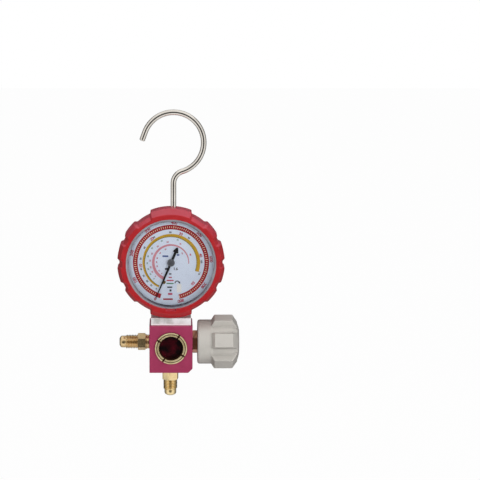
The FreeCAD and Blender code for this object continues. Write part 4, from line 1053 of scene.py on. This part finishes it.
def screw_thread(name, centre, axis, start, length):
    """A helical thread: one pitch of its outline is drawn, wound up, and cut square at both ends."""
    side = beside(axis)
    shape = ((0.0, 0.0), (0.12, 0.0), (0.43, 1.0), (0.57, 1.0), (0.88, 0.0), (1.0, 0.0))
    depth = thread_r - thread_root_r
    first = start - thread_pitch
    corners = [centre + (side * (thread_root_r + depth * rise) + axis * (first + thread_pitch * share)) * MM
               for share, rise in shape]
    drawn(corners[0], corners[1:])
    centre_on(bpy.context.object, centre)
    thread = named(name)
    modify(thread, "SCREW", axis="Z" if abs(axis.z) > 0.5 else "X",
           screw_offset=thread_pitch * MM * (axis.x + axis.z), iterations=int(length / thread_pitch) + 3,
           steps=48, use_merge_vertices=True, merge_threshold=SEAM)
    settle()
    edit(thread)
    for station, keep_after in ((start, True), (start + length, False)):
        take_all()
        bpy.ops.mesh.bisect(plane_co=centre + axis * station * MM, plane_no=axis, use_fill=True,
                            clear_inner=keep_after, clear_outer=not keep_after)
    mend_surface()
    leave_edit()
    return thread


def flare_port(name, centre, axis, lead, hex_start, hex_length, thread_length, nose_length):
    """A flare port: root, any neck and collar, hexagon, helical thread and rounded nose."""
    thread_start = hex_start + hex_length
    nose_start = thread_start + thread_length
    end = nose_start + nose_length
    shank = turned(name, closed(
        [(port_bore_r, -9.0), (4.9, -9.0), (4.9, 0)] + lead
        + [(thread_root_r, thread_start), (thread_root_r, nose_start + 0.5),
           (nose_r - 0.35, nose_start + 0.5), (nose_r, nose_start + 0.75), (nose_r, end - 1.8),
           (nose_r - 0.28, end - 1.2), (nose_r - 0.8, end - 0.65), (nose_tip_r, end - 0.2),
           (nose_tip_r - 0.45, end), (port_bore_r, end)]),
        centre, axis, 72)
    round_edges(shank, 0.12, 2, 35)
    nut = hexagon(name + "_hexagon", centre, axis, port_hex_af, hex_start, hex_length, 0.75)
    carve(nut, peg("bore", centre + axis * (hex_start - 1) * MM, axis, port_bore_r, hex_length + 2))
    round_edges(nut, 0.14, 2, 20)
    thread = screw_thread(name + "_thread", centre, axis, thread_start, thread_length)
    carve(thread, peg("bore", centre + axis * (thread_start - 1) * MM, axis, port_bore_r, thread_length + 2))
    return shank, nut, thread


def make_side_port():
    lead = [(5.5, 0), (5.5, 1.8), (5.2, 2.0), (5.8, 2.2), (5.8, 3.2), (5.2, 3.2)]
    shank, nut, thread = flare_port("side_port", side_port, -X_AXIS, lead, 3.2, 6.2, 9.3, 5.2)
    finish(join("side_port_brass", shank, nut, thread), "manifold", brass_x,
           ["side_port_fitting"])


def make_lower_port():
    shank, nut, thread = flare_port("lower_port", lower_port, -Z_AXIS, [(5.0, 0)], 0.0, 8.4, 7.6, 5.4)
    turn_about(nut, lower_port, 2, lower_hex_turn)
    finish(join("lower_port_brass", shank, nut, thread), "manifold", brass_z,
           ["lower_port_fitting"])


# Sight glass

def make_sight_glass():
    ring = turned("sight_ring", closed([
        (9.9, -1.8), (10.9, -1.8), (10.9, -1.4), (11.5, -1.4), (11.5, -1.8), (12.0, -1.8), (12.55, -1.55),
        (12.75, -1.0), (12.75, 0), (11.3, 0), (11.3, 4.4), (9.1, 4.4), (9.1, -0.5), (9.4, -1.2)]),
        sight, Y_AXIS, 128)
    for quarter in range(4):
        cutter = block("slot", sight + Vector((11.6, -1.5, 0)) * MM, Vector((6.4, 2.0, 1.4)))
        turn_about(cutter, sight, 1, -58 - 90 * quarter)
        carve(ring, cutter)
    round_edges(ring, 0.12, 2, 28)
    finish(ring, "manifold", brass_y, ["sight_glass_ring"])
    glass = turned("sight_window", [(0, 4.15), (4, 4.22), (8, 4.4), (10.4, 4.4), (10.4, 7.8), (0, 7.8)],
                   sight, Y_AXIS, 96)
    round_edges(glass, 0.15, 2, 50)
    finish(glass, "manifold", sight_glass, ["sight_glass_lens"])


# Valve

def make_bonnet():
    body = turned("bonnet", closed([
        (3.05, -8.6), (5.0, -8.6), (5.5, -8.1), (5.5, 0), (6.6, 0), (6.6, 12.35), (6.0, 12.95),
        (4.05, 12.95), (4.05, -2.05), (3.05, -2.05)]), bonnet_root, X_AXIS, 72)
    nut = hexagon("bonnet_hexagon", bonnet_root, X_AXIS, 16.0, 0.0, 4.7, 1.0)
    carve(nut, peg("bore", bonnet_root - X_AXIS * MM, X_AXIS, 5.5, 7))
    round_edges(nut, 0.18, 2, 20)
    finish(join("bonnet_brass_body", body, nut), "manifold", bonnet_brass, ["valve_bonnet"])


def make_lobe(centre, number):
    """One grip lobe: a block whose top is drawn in to a pad and whose ends slope down."""
    length = lobe_end - lobe_start
    middle_place = Vector(((lobe_start + lobe_end) / 2, 0, lobe_top_r - lobe_h / 2))
    lobe = block("lobe_%d" % number, centre + middle_place * MM, Vector((length, lobe_w, lobe_h)))
    edit(lobe)
    pick("faces", lambda point: point.z > centre.z + (lobe_top_r - 0.1) * MM)
    bpy.ops.transform.resize(
        value=((pad_end - pad_start) / length, pad_w / lobe_w, 1),
        center_override=centre + Vector(((pad_start + pad_end) / 2, 0, lobe_top_r)) * MM)
    turn_about(lobe, centre, 0, lobe_turn + 360 / lobe_count * number)
    return lobe


def make_rib(centre, number):
    """One of the webs between the wheel's hub and its rim."""
    rib = block("rib_%d" % number, centre + Vector((40.5, 0, 10.0)) * MM, Vector((13.0, 1.6, 8.6)))
    turn_about(rib, centre, 0, lobe_turn + 360 / lobe_count * number)
    return rib


def make_handwheel():
    """The wheel: a turned shell with lobes, a square hub and ribs, moulded as one."""
    centre = Vector((gauge.x, 0, valve.z))
    shell = turned("wheel", closed([
        (13.4, wheel_start), (16.1, wheel_start), (wheel_r - 0.45, 21.4), (wheel_r, 22.5), (wheel_r, 31.6),
        (wheel_r - 0.4, 33.0), (wheel_r - 0.4, 48.3), (15.0, lobe_end), (11.6, wheel_end),
        (wheel_bore_r, wheel_end), (wheel_bore_r, cap_shoulder), (4.6, cap_shoulder), (4.6, 45.0),
        (2.0, 45.0), (2.0, 31.5), (6.5, 31.5), (6.5, 46.0), (11.4, 46.0), (13.4, 44.0)]),
        centre, X_AXIS, 96)
    square = block("square", centre + X_AXIS * 38.5 * MM, Vector((16.0, square_w, square_w)))
    turn_about(square, centre, 0, lobe_turn)
    carve(shell, square)
    lobes = [make_lobe(centre, number) for number in range(lobe_count)]
    ribs = [make_rib(centre, number) for number in range(lobe_count)]
    wheel = join("wheel_moulding", shell, *lobes, *ribs)
    mould(wheel, 0.3, 1)
    finish(wheel, "handwheel", wheel_satin, ["handwheel"], smooth=50)


def make_cap():
    cap = turned("wheel_end_cap", [
        (0, 50.2), (4.4, 50.2), (4.4, cap_shoulder), (wheel_bore_r - 0.1, cap_shoulder),
        (wheel_bore_r - 0.1, 53.6), (10.55, 53.85), (10.2, cap_front), (9.4, cap_front), (9.2, 53.85),
        (8.9, 53.85), (8.7, cap_front), (0, cap_front)], Vector((gauge.x, 0, valve.z)), X_AXIS, 96)
    finish(cap, "handwheel", cap_satin, ["wheel_cap"])


def dress_nodes():
    """The works and other solids keep their own shape and take these finishes."""
    dressings = [
        (case_steel, "case_steel", ["gauge_case"]),
        (works_brass, "works_brass", [
            "dial_posts", "pinion_arbor", "sector_gear", "sector_arbor", "link", "link_pin", "tube_end",
            "bourdon_tube", "movement_front_plate", "movement_rear_plate", "movement_pillars",
            "gauge_socket", "restrictor"]),
        (screw_steel, "screw_steel", [
            "hook_washer", "hairspring", "movement_screws", "case_screws", "case_spacers",
            "valve_stem", "valve_piston", "wheel_washer", "wheel_screw"]),
        (seal_black, "seal_black", [
            "lens_gasket", "port_o_rings", "sight_glass_seal", "bonnet_o_ring", "stem_o_ring"]),
        (seal_white, "seal_white", ["stem_seal", "piston_seal"]),
        (block_anodised, "block_anodised", ["manifold_block"]),
    ]
    for paint, slot, nodes in dressings:
        for node in nodes:
            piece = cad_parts[node]
            if not piece.material_slots:
                piece.data.materials.append(paint)
            for place in piece.material_slots:
                place.material = paint


make_hook()
make_boot()
make_bezel()
make_lens()
make_dial()
make_numerals()
make_legend()
make_set_mark()
make_pointer()
make_hub()
make_zero_screw()
make_side_port()
make_lower_port()
make_sight_glass()
make_bonnet()
make_handwheel()
make_cap()
dress_nodes()


# Floor, light and camera

def seen_straight(tree):
    """One for what the camera sees directly or through glass."""
    ray = add_node(tree, "LightPath").outputs
    return calc(tree, "MAXIMUM", ray["Is Camera Ray"], ray["Is Transmission Ray"])


def make_floor():
    """A pale floor that looks white to the camera and keeps a trace of the shadow."""
    choose()
    bpy.ops.mesh.primitive_plane_add(size=8, location=(0, 0, cad_box[0][2] - 0.0005))
    floor = named("floor")
    material, tree, shader = plain_finish("floor_pale")
    grain = placed(tree, fine_grain, Scale=60.0, Breadth=6.0, Mix=0.5)["Tone"]
    dress(tree, shader, {
        "Base Color": graded(tree, grain, (0.35, 0.62), (0.65, 0.64)),
        "Roughness": 0.9})
    glow = add_node(tree, "Emission").outputs["Emission"]
    share = calc(tree, "MULTIPLY", seen_straight(tree), 0.98)
    mix = add_node(tree, "MixShader", {"Fac": share, 1: shader.outputs["BSDF"], 2: glow})
    feed(tree, tree.nodes["Material Output"].inputs["Surface"], mix.outputs["Shader"])
    floor.data.materials.append(material)
    floor.visible_glossy = False


def make_world():
    """Plain white light, a white backdrop, and a studio with dark gaps that only metal mirrors."""
    world = bpy.data.worlds.new("studio")
    bpy.context.scene.world = world
    world.use_nodes = True
    tree = world.node_tree
    white = (1, 1, 1, 1)
    light = tree.nodes["Background"]
    dress(tree, light, {"Color": white, "Strength": 0.21})
    backdrop = add_node(tree, "Background", {"Color": white})
    sky = axes(tree, "Generated")
    depth = calc(tree, "MULTIPLY_ADD", sky["Y"], 0.5, 0.5)
    studio = graded(tree, depth, (0.0, 0.06), (0.045, 0.1), (0.09, 1.0), (0.33, 1.0), (0.43, 0.45),
                    (0.74, 0.34), (0.84, 0.06))
    height = calc(tree, "MULTIPLY_ADD", sky["Z"], 0.5, 0.5)
    overhead = graded(tree, height, (0.0, 0.6), (0.14, 0.6), (0.25, 0.0), (0.75, 0.0), (0.875, 0.95))
    mirrored = add_node(tree, "Background", {"Color": calc(tree, "MAXIMUM", studio, overhead)})
    glossy = add_node(tree, "LightPath").outputs["Is Glossy Ray"]
    lit = add_node(tree, "MixShader", {
        "Fac": glossy, 1: light.outputs["Background"], 2: mirrored.outputs["Background"]})
    mix = add_node(tree, "MixShader", {
        "Fac": seen_straight(tree), 1: lit.outputs["Shader"], 2: backdrop.outputs["Background"]})
    feed(tree, tree.nodes["World Output"].inputs["Surface"], mix.outputs["Shader"])


def make_lamp(name, place, target, size, power):
    choose()
    bpy.ops.object.light_add(type="AREA", location=place)
    lamp = bpy.context.object
    lamp.name = name
    lamp.rotation_euler = (target - place).to_track_quat("-Z", "Y").to_euler()
    lamp.data.size = size
    lamp.data.energy = power
    lamp.visible_glossy = False


def make_camera():
    """Level with the photograph: a little above the gauge's centre, in front of it."""
    distance = 1.2
    elevation = math.radians(10)
    place = gauge + Vector((0, -math.cos(elevation), math.sin(elevation))) * distance
    choose()
    bpy.ops.object.camera_add(location=place, rotation=(math.pi / 2 - elevation, 0, 0))
    camera = bpy.context.object
    camera.data.lens = 113.9
    camera.data.sensor_width = 36
    camera.data.shift_x = 0.14375
    camera.data.shift_y = 0.04375
    bpy.context.scene.camera = camera


make_floor()
make_world()
make_lamp("key_light", Vector((-0.12, -1.45, 0.24)), gauge, 0.9, 10.0)
make_lamp("top_light", Vector((-0.1, -0.3, 1.3)), gauge, 1.2, 3.8)
make_lamp("fill_light", Vector((1.1, -1.1, 0.0)), gauge, 1.2, 12.0)
make_camera()
bpy.context.scene.view_settings.view_transform = "Standard"
